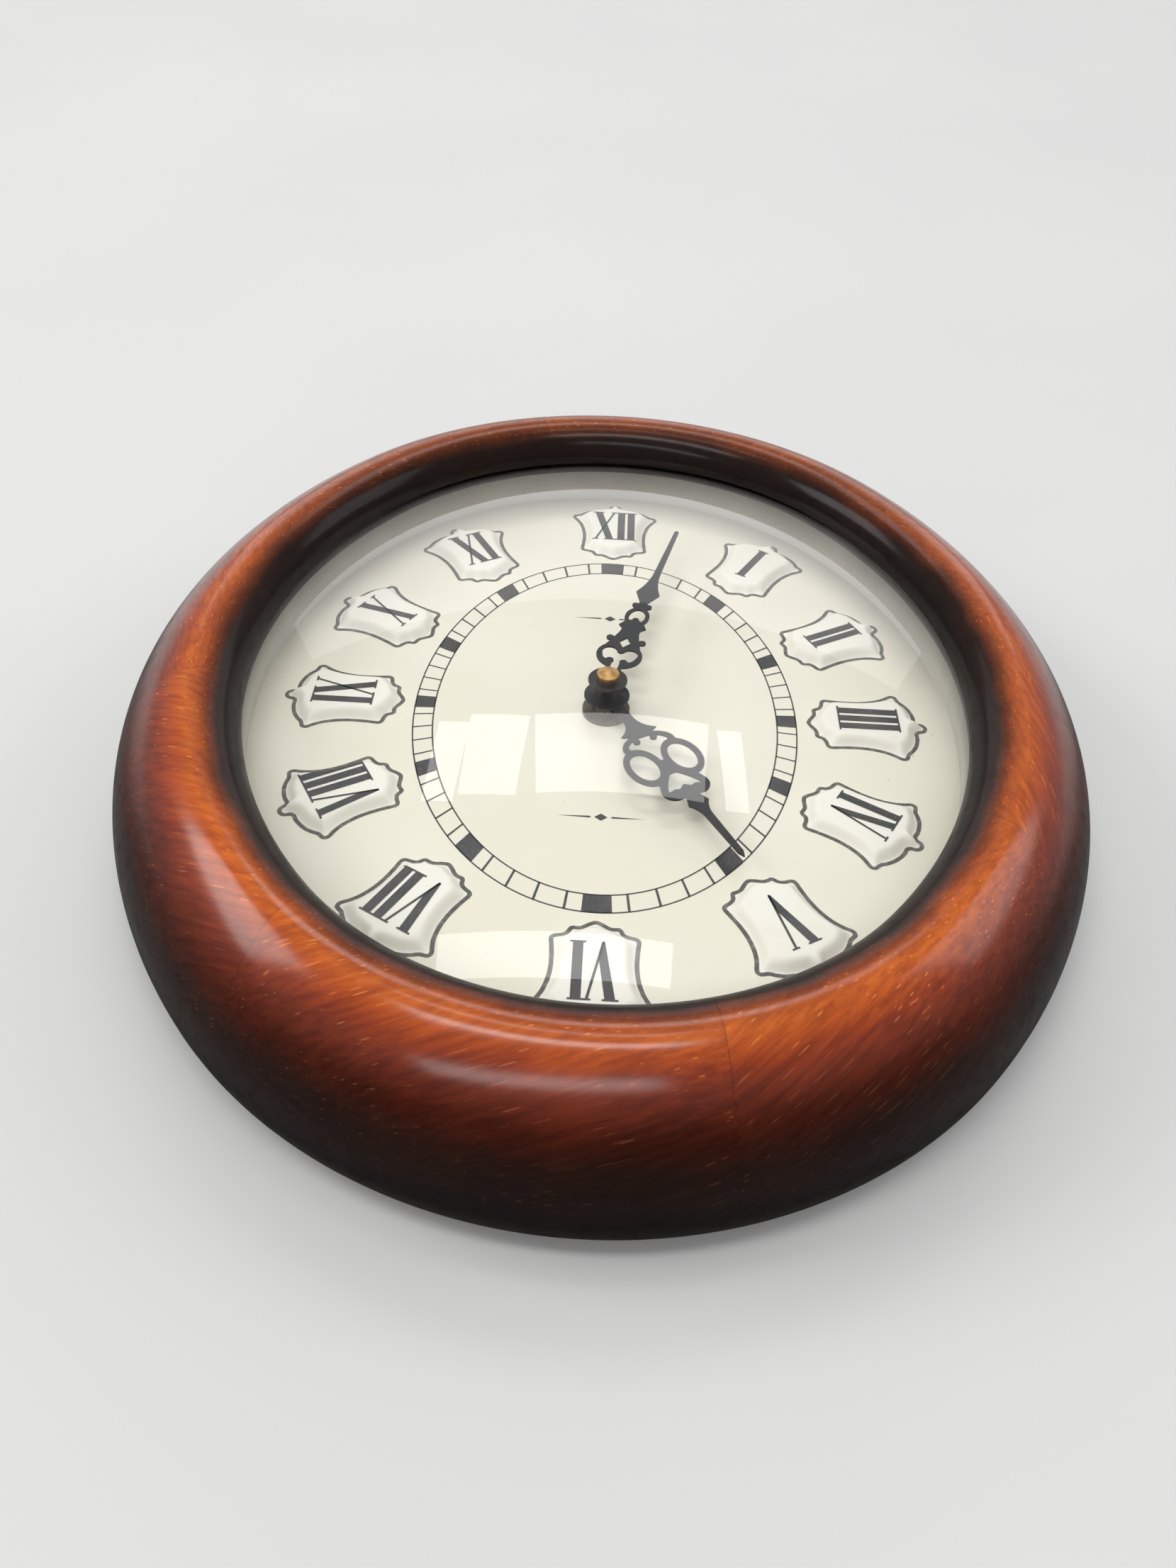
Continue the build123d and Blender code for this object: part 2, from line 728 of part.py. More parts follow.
def rotor_pinion():
    phase = mesh_phase(fifth_teeth, 0, rotor_bearing, rotor_teeth)
    pinion = rod(pivot_radius, cover_shoulder() - pivot_length, plate_shoulder() + pivot_length, rotor_at)
    pinion += gear(rotor_teeth, train_module, fifth_base - run_gap / 2, fifth_top, rotor_at, phase)
    pinion += rod(arbor_radius + run_gap, fifth_top + run_gap / 2, magnet_base, rotor_at)
    return pinion + rod(arbor_radius, magnet_base, magnet_top, rotor_at)


def fifth_wheel():
    phase = mesh_phase(fourth_teeth, 0, fifth_bearing, pinion_teeth)
    wheel = turned_arbor(fifth_at, cover_shoulder(), plate_shoulder())
    wheel += gear(pinion_teeth, train_module, fourth_base - run_gap / 2, fourth_top, fifth_at, phase)
    return wheel + gear(fifth_teeth, train_module, fifth_base, fifth_top, fifth_at)


def fourth_wheel():
    wheel = rod(arbor_radius, cover_shoulder(), plate_shoulder())
    wheel += rod(pivot_radius, cover_shoulder() - pivot_length, centre_top)
    wheel += gear(pinion_teeth, fourth_module, third_base - run_gap / 2, third_top, arbor_at)
    return wheel + gear(fourth_teeth, train_module, fourth_base, fourth_top, arbor_at)


def third_wheel():
    phase = mesh_phase(pinion_teeth, 0, third_bearing, third_teeth)
    wheel = turned_arbor(third_at, cover_shoulder(), case_inside - pivot_length - run_gap / 2)
    wheel += gear(pinion_teeth, train_module, centre_base - run_gap / 2, centre_top + run_gap / 2, third_at)
    return wheel + gear(third_teeth, fourth_module, third_base, third_top, third_at, phase)


def centre_wheel():
    phase = mesh_phase(pinion_teeth, 0, third_bearing + 180, centre_teeth)
    wheel = gear(centre_teeth, train_module, centre_base, centre_top, arbor_at, phase)
    return wheel - rod(cap_stud_radius + bearing_gap, centre_base, centre_top)


def clutch_spring():
    disc = Circle(clutch_radius) - Circle(cap_stud_radius + bearing_gap)
    return slab(disc, clutch_base, centre_base)


def train_plate():
    low = post_low - post_radius + run_gap / 2
    high = post_high + post_radius
    half = post_x + post_radius
    plate = block((-half, half), (low, high), (plate_base, plate_top))
    for spot in post_places():
        plate -= rod(peg_radius + bearing_gap, plate_base, plate_top, spot)
    for spot in (arbor_at, fifth_at, rotor_at):
        plate -= rod(pivot_radius + bearing_gap, plate_base, plate_top, spot)
    knob_room = minute_shaft_radius + 2 * run_gap
    plate -= rod(knob_room, plate_base, plate_top, knob_at)
    return plate - rod(arbor_radius + run_gap, plate_base, plate_top, third_at)


def minute_arbor():
    arbor = rod(cap_stud_radius + run_gap, clutch_lip_base, clutch_base)
    arbor += rod(cap_stud_radius, clutch_base, centre_top)
    low = centre_top + run_gap / 4
    high = minute_wheel_top + run_gap / 2
    arbor += gear(cannon_teeth, motion_module, low, high, arbor_at)
    arbor += rod(cap_stud_radius, centre_top, low)
    arbor += rod(minute_shaft_radius, high, shaft_end)
    arbor += rod(cap_stud_radius, shaft_end, shaft_end + cap_stud)
    return arbor - rod(pivot_radius + bearing_gap, clutch_lip_base, centre_top + run_gap)


def minute_wheel():
    phase = mesh_phase(cannon_teeth, 0, minute_wheel_bearing, minute_wheel_teeth)
    base = minute_wheel_base
    wheel = gear(minute_wheel_teeth, motion_module, base, minute_wheel_top, minute_wheel_at, phase)
    wheel += gear(minute_pinion_teeth, motion_module, minute_wheel_top, hour_wheel_top, minute_wheel_at)
    return wheel - rod(stud_radius + bearing_gap, base, hour_wheel_top, minute_wheel_at)


def hour_wheel():
    phase = mesh_phase(minute_pinion_teeth, 0, minute_wheel_bearing + 180, hour_wheel_teeth)
    wheel = gear(hour_wheel_teeth, motion_module, hour_wheel_base, hour_wheel_top, arbor_at, phase)
    wheel += rod(pipe_radius, hour_wheel_base, pipe_end)
    return wheel - rod(minute_shaft_radius + bearing_gap, hour_wheel_base, pipe_end)


def setting_knob():
    wheel_phase = mesh_phase(cannon_teeth, 0, minute_wheel_bearing, minute_wheel_teeth)
    phase = mesh_phase(minute_wheel_teeth, wheel_phase, knob_bearing, cannon_teeth)
    top = case_back - seat_gap
    grip = rod(knob_radius, top - knob_height, top, knob_at)
    for i in range(knob_notches):
        notch_at = around(knob_at, knob_radius + end_gap, 360 / knob_notches * i)
        grip -= rod(knob_notch_radius, top - knob_height, top, notch_at)
    knob = grip + rod(minute_shaft_radius, top, minute_wheel_base, knob_at)
    low = minute_wheel_base - run_gap / 2
    knob += gear(cannon_teeth, motion_module, low, minute_wheel_top, knob_at, phase)
    knob += rod(arbor_radius, minute_wheel_top, case_inside - pivot_length - run_gap / 2, knob_at)
    return knob + rod(pivot_radius, minute_wheel_top, case_inside - seat_gap, knob_at)


# Hands, drawn pointing to 12 at a reach of their own and scaled to their length
def pair(shape, x, y):
    return (Pos(x, y) * shape) + (Pos(-x, y) * shape)


def mirrored(*points):
    """A closed straight-sided outline from its right half, listed from the bottom up."""
    left = [(-x, y) for x, y in reversed(points)]
    return make_face(Polyline(*points, *left, close=True))


def bar(half_width, low, high):
    return Pos(0, (low + high) / 2) * Rectangle(2 * half_width, high - low)


def tapered_tip(root, root_half, end, end_half):
    """A long tip with a round end."""
    middle = end - end_half
    return mirrored((root_half, root), (end_half, middle)) + Pos(0, middle) * Circle(end_half)


def spade(neck, neck_half, shoulder, shoulder_half, top, top_half):
    """A pointed leaf: straight to its shoulders, hollow above them."""
    sides = []
    for side in (1, -1):
        waist = (side * (top_half + 0.25 * (shoulder_half - top_half)), shoulder + 0.5 * (top - shoulder))
        sides.append(Line((side * neck_half, neck), (side * shoulder_half, shoulder)))
        sides.append(ThreePointArc((side * shoulder_half, shoulder), waist, (side * top_half, top)))
    sides.append(Line((-neck_half, neck), (neck_half, neck)))
    sides.append(Line((-top_half, top), (top_half, top)))
    return make_face(sides)


def minute_hand_outline():
    reach = 79.8
    scroll = Pos(0, 11.6) * Ellipse(6.4, 5.9) + bar(2.2, 3.0, 8.0)
    body = mirrored((4.9, 15.6), (4.1, 18.0), (3.45, 20.0), (2.9, 21.9), (2.65, 23.5), (2.9, 24.6),
                    (3.95, 25.7), (3.2, 27.0), (2.5, 28.4))
    body += bar(4.6, 18.4, 19.2) + pair(Circle(1.1), 4.6, 18.9)
    piercings = pair(Circle(2.1), 2.95, 12.5) + pair(Circle(2.05), 2.75, 11.6) + pair(Circle(2.0), 2.5, 10.8)
    piercings += bar(2.4, 9.6, 13.0) + bar(1.1, 5.0, 9.8)
    piercings = piercings - pair(Circle(1.1), 1.95, 8.7) - Pos(0, 13.6) * Circle(1.0)
    piercings += mirrored((0.03, 15.25), (1.65, 17.65), (0.03, 20.05))
    loop = Pos(0, 30.8) * Ellipse(3.5, 4.7) - Pos(0, 30.8) * Ellipse(2.3, 3.5)
    loop += mirrored((2.5, 25.6), (2.4, 27.6), (1.6, 28.7), (0.7, 29.0)) + Pos(0, 29.2) * Circle(0.95)
    cross = bar(1.75, 35.0, 37.2) + pair(Circle(1.1), 1.8, 36.5) + bar(1.2, 36.0, 39.0)
    leaf = spade(38.5, 1.2, 43.3, 3.5, 54.8, 1.0) + tapered_tip(54.7, 1.0, reach, 0.66)
    return scale(scroll + body - piercings + loop + cross + leaf, by=minute_hand_length / reach)


def hour_hand_outline():
    reach = 68.3
    flare = []
    for side in (1, -1):
        flare.append(Line((side * 1.6, 4.0), (side * 1.6, 11.4)))
        flare.append(ThreePointArc((side * 1.6, 11.4), (side * 2.6, 15.0), (side * 5.3, 17.5)))
        flare.append(ThreePointArc((side * 5.3, 17.5), (side * 2.9, 18.6), (0, 19.2)))
    flare.append(Line((-1.6, 4.0), (1.6, 4.0)))
    rings = pair(Ellipse(5.05, 7.2), 5.6, 30.5)
    base = make_face(flare) + Pos(0, 23.0) * Ellipse(7.5, 4.8)
    gap = mirrored((1.6, 19.6), (3.3, 20.1), (4.6, 20.9), (5.7, 22.1), (5.7, 23.0), (0.65, 29.6)) - rings
    gap = gap - pair(Circle(0.95), 2.5, 20.8) - pair(Rectangle(1.5, 1.4), 2.6, 20.0)
    heart = pair(Circle(3.3), 3.4, 41.3) + mirrored((3.0, 34.0), (5.4, 36.9), (6.6, 40.6), (3.4, 44.5))
    opening = mirrored((0.95, 35.2), (2.75, 37.4), (4.0, 39.3), (4.95, 41.3), (4.0, 41.25), (2.9, 40.9),
                       (1.7, 41.35), (0.02, 40.1))
    leaf = bar(1.8, 43.5, 45.0) + spade(44.6, 1.8, 47.6, 2.95, 52.3, 1.1)
    tip = mirrored((1.1, 52.2), (0.8, 66.6), (0.03, reach))
    hand = base - gap + rings + bar(1.5, 29.8, 35.8) + heart
    hand = hand - opening - pair(Ellipse(3.4, 5.25), 5.6, 30.5) + leaf + tip
    return scale(hand, by=hour_hand_length / reach)


def minute_hand():
    sheet = minute_hand_outline() + Circle(minute_eye_radius)
    sheet -= Circle(minute_shaft_radius + push_gap)
    return Rot(Z=-minute_direction) * slab(sheet, minute_hand_base, shaft_end)


def hour_hand():
    sheet = hour_hand_outline() + Circle(hour_eye_radius)
    sheet -= Circle(pipe_radius + push_gap)
    return Rot(Z=-hour_direction) * slab(sheet, pipe_end - hand_thickness, pipe_end)


def minute_hand_hub():
    outline = Circle(minute_collet_radius) - Circle(minute_shaft_radius + push_gap)
    return slab(outline, minute_hand_base - collet_height, minute_hand_base)


def hour_hand_hub():
    outline = Circle(hour_collet_radius) - Circle(pipe_radius + push_gap)
    return slab(outline, pipe_end - hand_thickness - collet_height, pipe_end - hand_thickness)


def cap_nut():
    rim_top = shaft_end + cap_rim
    upright = (Align.CENTER, Align.CENTER, Align.MIN)
    tip = Cone(cap_radius, cap_tip_radius, cap_height - cap_rim, align=upright)
    cone = Pos(0, 0, rim_top) * tip
    cap = rod(cap_radius, shaft_end, rim_top) + cone
    return cap - rod(cap_stud_radius + push_gap, shaft_end, shaft_end + cap_stud + end_gap)


pieces = [
    wood_ring, glass_dome, spacer_ring, dial_plate, dial_clips, clip_screws, hanger_plate, hanger_screws,
    movement_case, movement_cover, rubber_washer, fixing_nut, battery, positive_contact, negative_contact,
    circuit_board, timing_chip, quartz_crystal, stator_plate, coil_core, coil_bobbin, coil_winding,
    stator_screws, rotor_magnet, rotor_pinion, fifth_wheel, fourth_wheel, third_wheel, centre_wheel,
    clutch_spring, train_plate, minute_arbor, minute_wheel, hour_wheel, setting_knob, minute_hand,
    hour_hand, minute_hand_hub, hour_hand_hub, cap_nut,
]

os.makedirs("parts", exist_ok=True)
for piece in pieces:
    export_step(Rot(X=90) * piece(), f"parts/{piece.__name__}.step")
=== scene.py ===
import math

import bmesh
import bpy
from bpy.props import FloatProperty, FloatVectorProperty, IntProperty, PointerProperty
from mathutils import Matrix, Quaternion, Vector


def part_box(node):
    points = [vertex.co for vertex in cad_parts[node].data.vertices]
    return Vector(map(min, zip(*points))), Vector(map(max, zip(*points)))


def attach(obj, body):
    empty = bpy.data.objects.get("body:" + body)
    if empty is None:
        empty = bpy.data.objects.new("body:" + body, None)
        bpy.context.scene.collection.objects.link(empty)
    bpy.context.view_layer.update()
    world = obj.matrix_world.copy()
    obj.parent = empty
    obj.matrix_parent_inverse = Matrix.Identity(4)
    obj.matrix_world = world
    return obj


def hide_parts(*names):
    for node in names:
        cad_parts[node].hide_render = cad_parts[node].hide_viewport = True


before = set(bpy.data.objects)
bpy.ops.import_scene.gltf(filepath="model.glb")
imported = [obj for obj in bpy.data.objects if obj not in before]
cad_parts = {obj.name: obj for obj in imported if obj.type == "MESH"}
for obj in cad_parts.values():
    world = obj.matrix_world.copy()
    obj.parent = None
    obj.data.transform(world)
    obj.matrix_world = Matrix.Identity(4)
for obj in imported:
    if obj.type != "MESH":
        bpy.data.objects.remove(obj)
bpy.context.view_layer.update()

bl_info = {
    "name": "Oval wall clock",
    "version": (1, 0, 0),
    "blender": (4, 5, 0),
    "location": "3D View > Sidebar > Wall clock",
    "description": "Finishes and fine surfaces of an oval wooden wall clock on its packed solids",
    "category": "Object",
}

MM = 0.001
WALL_FREE = 0.0002  # air between the flat back and the wall
INK_LIFT = 0.00004  # print above the dial sheet
SHIELD_INK_LIFT = 0.00009  # print above the round face of a shield
INK_STEP = 0.5  # longest straight step of a printed stroke, in mm

dial_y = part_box("spacer_ring")[1].y
glass_low, glass_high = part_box("glass_dome")
hanger_low, hanger_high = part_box("hanger_plate")


def tone(red, green, blue):
    """A screen colour from 0 to 255 as linear light."""
    def linear(level):
        share = level / 255
        return share / 12.92 if share <= 0.04045 else ((share + 0.055) / 1.055) ** 2.4

    return (linear(red), linear(green), linear(blue), 1.0)


def size_of(name, description, default):
    """A length in metres."""
    return FloatProperty(name=name, description=description, default=default, unit="LENGTH",
                         subtype="DISTANCE", precision=5)


def oval_of(name, description, default):
    """Half width and half height of an oval, in metres."""
    return FloatVectorProperty(name=name, description=description, default=default, size=2, unit="LENGTH")


def number_of(name, description, default):
    return FloatProperty(name=name, description=description, default=default)


def colour_of(name, description, red, green, blue):
    """A colour, given as it looks on a screen."""
    return FloatVectorProperty(name=name, description=description, default=tone(red, green, blue), size=4,
                               subtype="COLOR", min=0.0, max=1.0)


class RingSettings(bpy.types.PropertyGroup):
    half_width: size_of("Opening half width", "From the hands' axis to the opening's side", 0.095)
    half_height: size_of("Opening half height", "From the hands' axis to the opening's top", 0.114)
    end_radius: size_of("End radius", "Radius of the opening's top and bottom arcs", 0.084)
    width: size_of("Ring width", "From the opening to the widest line", 0.03446)
    belly_radius: size_of("Belly radius", "Big round of the front", 0.035)
    belly_height: size_of("Belly height", "Widest line above the wall", 0.014)
    lip_round: size_of("Lip round", "Round from the crown into the opening", 0.0105)
    under_round: size_of("Under round", "Round from the widest line to the wall", 0.020)
    lip_back: size_of("Lip back", "Back of the lip above the wall", 0.035718)
    rebate: size_of("Rebate", "Step that holds the glass and the dial", 0.005)
    ledge: size_of("Ledge", "Inner edge of the flat back", 0.014)
    segments: IntProperty(name="Segments", description="Glued pieces of wood round the ring", default=8,
                          min=3)
    joint_turn: FloatProperty(name="First joint", description="Direction of one glue joint",
                              subtype="ANGLE", default=math.radians(281.6))
    crown: colour_of("Crown stain", "Brightest stain, on the crown", 212, 108, 36)
    fleck: colour_of("Fleck", "Short bright rays in the wood", 226, 132, 58)


class GlassSettings(bpy.types.PropertyGroup):
    thickness: size_of("Thickness", "Wall of the domed glass", 0.002)
    tint: colour_of("Tint", "Colour that the glass passes", 255, 255, 255)


class DialSettings(bpy.types.PropertyGroup):
    thickness: size_of("Thickness", "Sheet of the dial", 0.0015)
    hole: size_of("Hole radius", "Hole for the movement's bush", 0.0032)
    overlap: size_of("Overlap", "Dial edge beyond the opening", 0.0046)
    shield_rise: size_of("Shield rise", "Height of the raised shields", 0.0024)
    shield_slope: size_of("Shield slope", "Width of the slope round each shield", 0.0027)
    shield_line: size_of("Shield line", "Width of the printed line round each shield", 0.0011)
    track_inner: oval_of("Track inside", "Half width and half height", (0.0471, 0.0685))
    track_outer: oval_of("Track outside", "Half width and half height", (0.0524, 0.0741))
    numeral_height: size_of("Numeral height", "Height of the numerals", 0.01675)
    numeral_out: size_of("Numeral offset", "Numeral centre outside the shield's centre", 0.0002)
    cream: colour_of("Cream", "Print of the dial", 236, 232, 214)
    # the edge shade is the colour of the painted shade of the lip on the dial's edge
    shade: colour_of("Edge shade", "Sprayed grey at the dial's edge", 128, 127, 121)
    enamel: colour_of("Shield white", "Field of the raised shields", 242, 239, 226)
    ink: colour_of("Ink", "Numerals and minute track", 42, 42, 42)
    outline: colour_of("Shield print", "Line round each shield", 38, 36, 32)


class HandSettings(bpy.types.PropertyGroup):
    black: colour_of("Hand black", "Satin black of the hands", 17, 17, 17)
    brass: colour_of("Cap brass", "Turned cap in the middle", 204, 164, 104)


class StageSettings(bpy.types.PropertyGroup):
    wall: colour_of("Wall", "Pale plain wall", 218, 217, 215)
    window: number_of("Window glow", "Brightness of the window softboxes", 4.2)
    key: number_of("Key glow", "Brightness of the softbox on the left", 5.3)
    strip: number_of("Strip glow", "Brightness of the strip lights in front", 8.2)
    fill: number_of("Fill glow", "Brightness of the softbox on the right", 2.0)
    back: number_of("Back glow", "Brightness of the softbox behind the wall", 3.0)
    ambient: number_of("Ambient", "Strength of the surrounding light", 0.47)
    lens: number_of("Lens", "Focal length in millimetres", 29.34)


# Node trees written as expressions
def maths(operation, swapped=False):
    """An operator that adds one Math node; swapped where the socket stands on its right."""
    def method(self, *others):
        values = (*others, self) if swapped else (self, *others)
        return self.flow.math(operation, *values)

    return method


class Val:
    """A socket of a node tree; arithmetic on it adds Math nodes."""

    def __init__(self, flow, socket):
        self.flow = flow
        self.socket = socket

    __add__, __radd__ = maths("ADD"), maths("ADD", swapped=True)
    __sub__, __rsub__ = maths("SUBTRACT"), maths("SUBTRACT", swapped=True)
    __mul__, __rmul__ = maths("MULTIPLY"), maths("MULTIPLY", swapped=True)
    __truediv__, __rtruediv__ = maths("DIVIDE"), maths("DIVIDE", swapped=True)
    __pow__, __abs__ = maths("POWER"), maths("ABSOLUTE")
    __gt__, __lt__ = maths("GREATER_THAN"), maths("LESS_THAN")


class Flow:
    """One node tree, shader or geometry."""

    def __init__(self, tree):
        self.tree = tree

    def add(self, kind, settings=None, inputs=None):
        """A new node of this kind, with its settings made first and then its sockets set or linked."""
        node = self.tree.nodes.new(kind)
        for key, value in (settings or {}).items():
            if key == "stops":
                self.fill_ramp(node.color_ramp, value)
            else:
                setattr(node, key, value)
        for key, value in (inputs or {}).items():
            if isinstance(value, Val):
                self.tree.links.new(value.socket, node.inputs[key])
            else:
                node.inputs[key].default_value = value
        return node

    def fill_ramp(self, ramp, stops):
        while len(ramp.elements) < len(stops):
            ramp.elements.new(1.0)
        for element, (place, colour) in zip(ramp.elements, stops):
            element.position = place
            element.color = colour

    def get(self, kind, output=0, settings=None, inputs=None):
        """One output of a new node."""
        return Val(self, self.add(kind, settings, inputs).outputs[output])

    def math(self, operation, *values):
        return self.get("ShaderNodeMath", 0, {"operation": operation}, dict(enumerate(values)))

    def smooth(self, value, low, high):
        """0 below low, 1 above high, and a soft step between them."""
        return self.get("ShaderNodeMapRange", 0, {"interpolation_type": "SMOOTHSTEP"},
                        {"Value": value, "From Min": low, "From Max": high})

    def mix(self, share, first, second, blend="MIX"):
        return self.get("ShaderNodeMix", 2, {"data_type": "RGBA", "blend_type": blend},
                        {0: share, 6: first, 7: second})

    def ramp(self, value, stops):
        return self.get("ShaderNodeValToRGB", 0, {"stops": stops}, {"Fac": value})

    def vector(self, x, y, z):
        return self.get("ShaderNodeCombineXYZ", 0, None, {0: x, 1: y, 2: z})

    def parts(self, vector):
        split = self.add("ShaderNodeSeparateXYZ", None, {0: vector})
        return [Val(self, socket) for socket in split.outputs]

    def point(self):
        """Object coordinates in millimetres: to 3 o'clock, out from the wall, to 12 o'clock."""
        right, into, up = self.parts(self.get("ShaderNodeTexCoord", "Object"))
        return right * 1000.0, into * -1000.0, up * 1000.0

    def place(self):
        """The same coordinates as one vector."""
        return self.vector(*self.point())

    def noise(self, place, scale, detail=2.0, rough=0.5):
        return self.get("ShaderNodeTexNoise", "Fac", None,
                        {"Vector": place, "Scale": scale, "Detail": detail, "Roughness": rough})

    def cells(self, place, scale):
        """Scattered cells: distance to a cell's middle, that middle, and the cell's chance number."""
        cell = self.add("ShaderNodeTexVoronoi", None, {"Vector": place, "Scale": scale})
        middle = Val(self, cell.outputs["Position"])
        luck = self.get("ShaderNodeSeparateColor", 0, None, {0: Val(self, cell.outputs["Color"])})
        return Val(self, cell.outputs["Distance"]), middle, luck

    def specks(self, place, scale, core, edge, bar):
        """Round specks, soft from core to edge, in the cells whose chance number passes the bar."""
        gap, _, luck = self.cells(place, scale)
        return (1 - self.smooth(gap, core, edge)) * (luck > bar)

    def rays(self, along, across, depth, length, width, half_length, half_width):
        """Short slim strokes of the grain, one in most cells of length by width, as a soft mask."""
        place = self.vector(along / length, across / width, depth / width)
        _, middle, luck = self.cells(place, 1.0)
        gap = self.get("ShaderNodeVectorMath", 0, {"operation": "SUBTRACT"}, {0: place, 1: middle})
        a, b, c = self.parts(gap)
        a, b, c = a * (length / half_length), b * (width / half_width), c * (width / half_width)
        return (1 - self.smooth(a * a + b * b + c * c, 0.25, 1.0)) * self.smooth(luck, 0.2, 0.7)

    def bump(self, height, strength, distance):
        return self.get("ShaderNodeBump", 0, None,
                        {"Height": height, "Strength": strength, "Distance": distance})

    def skin(self, **inputs):
        """A Principled shader, with its sockets' names written small and with underscores."""
        named = {key.replace("_", " ").title().replace("Ior", "IOR"): value
                 for key, value in inputs.items()}
        return self.get("ShaderNodeBsdfPrincipled", 0, None, named)

    def blend(self, share, first, second):
        """From one shader to another."""
        return self.get("ShaderNodeMixShader", 0, None, {0: share, 1: first, 2: second})

    def show(self, shader):
        self.add("ShaderNodeOutputMaterial", None, {"Surface": shader})


def new_finish(name):
    """A new material and its empty node tree."""
    material = bpy.data.materials.new(name)
    material.use_nodes = True
    material.node_tree.nodes.clear()
    return material, Flow(material.node_tree)


def mottled_finish(name, light, dark, patch, rough, metallic, relief):
    """A plain finish with clouds of a second tone, fine grain and uneven gloss; patch and relief in mm."""
    material, flow = new_finish(name)
    place = flow.place()
    clouds = flow.noise(place, 1 / patch, 4.0, 0.6)
    grain = flow.noise(place, 9 / patch, 2.0)
    colour = flow.mix(flow.smooth(clouds, 0.35, 0.68), light, dark)
    normal = flow.bump(grain * 0.7 + clouds * 0.3, 0.5, relief * MM)
    flow.show(flow.skin(base_color=colour, roughness=rough + 0.16 * (grain - 0.5), metallic=metallic,
                        normal=normal))
    return material


def brushed_finish(name, light, dark, along, rough):
    """Metal with fine lines along one axis and dull stains."""
    material, flow = new_finish(name)
    point = flow.point()
    stretched = [part * (0.12 if axis == along else 6.0) for axis, part in enumerate(point)]
    lines = flow.noise(flow.vector(*stretched), 1.0, 3.0)
    stains = flow.noise(flow.vector(*point), 0.35, 4.0)
    colour = flow.mix(flow.smooth(stains, 0.4, 0.7), light, dark)
    dull = rough + 0.2 * (lines - 0.5) + 0.15 * flow.smooth(stains, 0.5, 0.8)
    normal = flow.bump(lines, 0.25, 0.03 * MM)
    flow.show(flow.skin(base_color=colour, roughness=dull, metallic=1.0, normal=normal))
    return material


# Shapes shared by the pieces
def upright(x, y, height):
    """Dial place and height above the wall, as a point of the frame."""
    return Vector((x, -height, y))


def oval_arcs(ring):
    """Radius of the opening's side arcs, and how far the side and end arcs' centres lie from the axis."""
    end_centre = ring.half_height - ring.end_radius
    side_radius = (ring.half_width ** 2 + end_centre ** 2 - ring.end_radius ** 2) / (
        2 * (ring.half_width - ring.end_radius))
    return side_radius, side_radius - ring.half_width, end_centre


def oval_point(ring, bearing, grow):
    """Place on the opening's oval, grown outwards, where its outward direction has this bearing."""
    side_radius, side_centre, end_centre = oval_arcs(ring)
    join = math.atan2(end_centre, side_centre)
    across, up = math.cos(bearing), math.sin(bearing)
    if abs(across) >= math.cos(join):
        reach = side_radius + grow
        return -math.copysign(side_centre, across) + reach * across, reach * up
    reach = ring.end_radius + grow
    return reach * across, math.copysign(end_centre, up) + reach * up


def oval_bearings(ring, count):
    """Even bearings round the oval, with the four at which its arcs join."""
    _, side_centre, end_centre = oval_arcs(ring)
    join = math.atan2(end_centre, side_centre)
    turns = [2 * math.pi * i / count for i in range(count)]
    return sorted(turns + [join, math.pi - join, math.pi + join, 2 * math.pi - join])


def oval_offset(flow, ring, x, z):
    """How far a place lies outside the opening's oval, in mm."""
    side_radius, side_centre, end_centre = (value / MM for value in oval_arcs(ring))
    right, up = abs(x) + side_centre, abs(z)
    side = flow.math("SQRT", right * right + z * z) - side_radius
    rise = up - end_centre
    end = flow.math("SQRT", x * x + rise * rise) - ring.end_radius / MM
    in_end = up * side_centre > right * end_centre
    return side + in_end * (end - side)


def new_piece(name, points, faces, material=None, smooth_angle=None, closed=True):
    """A mesh object at the origin from points of the frame; a closed one gets outward normals."""
    mesh = bpy.data.meshes.new(name)
    mesh.from_pydata([tuple(point) for point in points], [], faces)
    if closed:
        form = bmesh.new()
        form.from_mesh(mesh)
        bmesh.ops.recalc_face_normals(form, faces=form.faces)
        form.to_mesh(mesh)
        form.free()
    if smooth_angle is not None:
        mesh.shade_smooth()
        mesh.set_sharp_from_angle(angle=math.radians(smooth_angle))
    if material:
        mesh.materials.append(material)
    piece = bpy.data.objects.new(name, mesh)
    bpy.context.scene.collection.objects.link(piece)
    return piece


def strip_faces(rows, columns, close_rows, close_columns):
    """Faces of a grid of points, listed row by row, that may close on itself either way."""
    faces = []
    for i in range(rows if close_rows else rows - 1):
        for k in range(columns if close_columns else columns - 1):
            j, m = (i + 1) % rows, (k + 1) % columns
            faces.append((i * columns + k, j * columns + k, j * columns + m, i * columns + m))
    return faces


def arc(centre, radius, start, end, steps):
    """Points of an arc, both ends included."""
    turns = [start + (end - start) * i / steps for i in range(steps + 1)]
    return [(centre[0] + radius * math.cos(turn), centre[1] + radius * math.sin(turn)) for turn in turns]


def mark_points(piece, name, values):
    """Gives each point of the piece a number under this name."""
    marks = piece.data.attributes.new(name, "FLOAT", "POINT")
    marks.data.foreach_set("value", values)


def settle(piece):
    """Turns the evaluated piece into a plain mesh without modifiers."""
    bpy.context.view_layer.update()
    depsgraph = bpy.context.evaluated_depsgraph_get()
    mesh = bpy.data.meshes.new_from_object(piece.evaluated_get(depsgraph))
    piece.modifiers.clear()
    piece.data = mesh
    return piece


def cut_away(piece, cutters):
    """Takes the cutters' shapes out of the piece, and the cutters out of the scene."""
    for cutter in cutters:
        tool = piece.modifiers.new("cut", "BOOLEAN")
        tool.operation = "DIFFERENCE"
        tool.solver = "EXACT"
        tool.object = cutter
    settle(piece)
    for cutter in cutters:
        bpy.data.objects.remove(cutter)


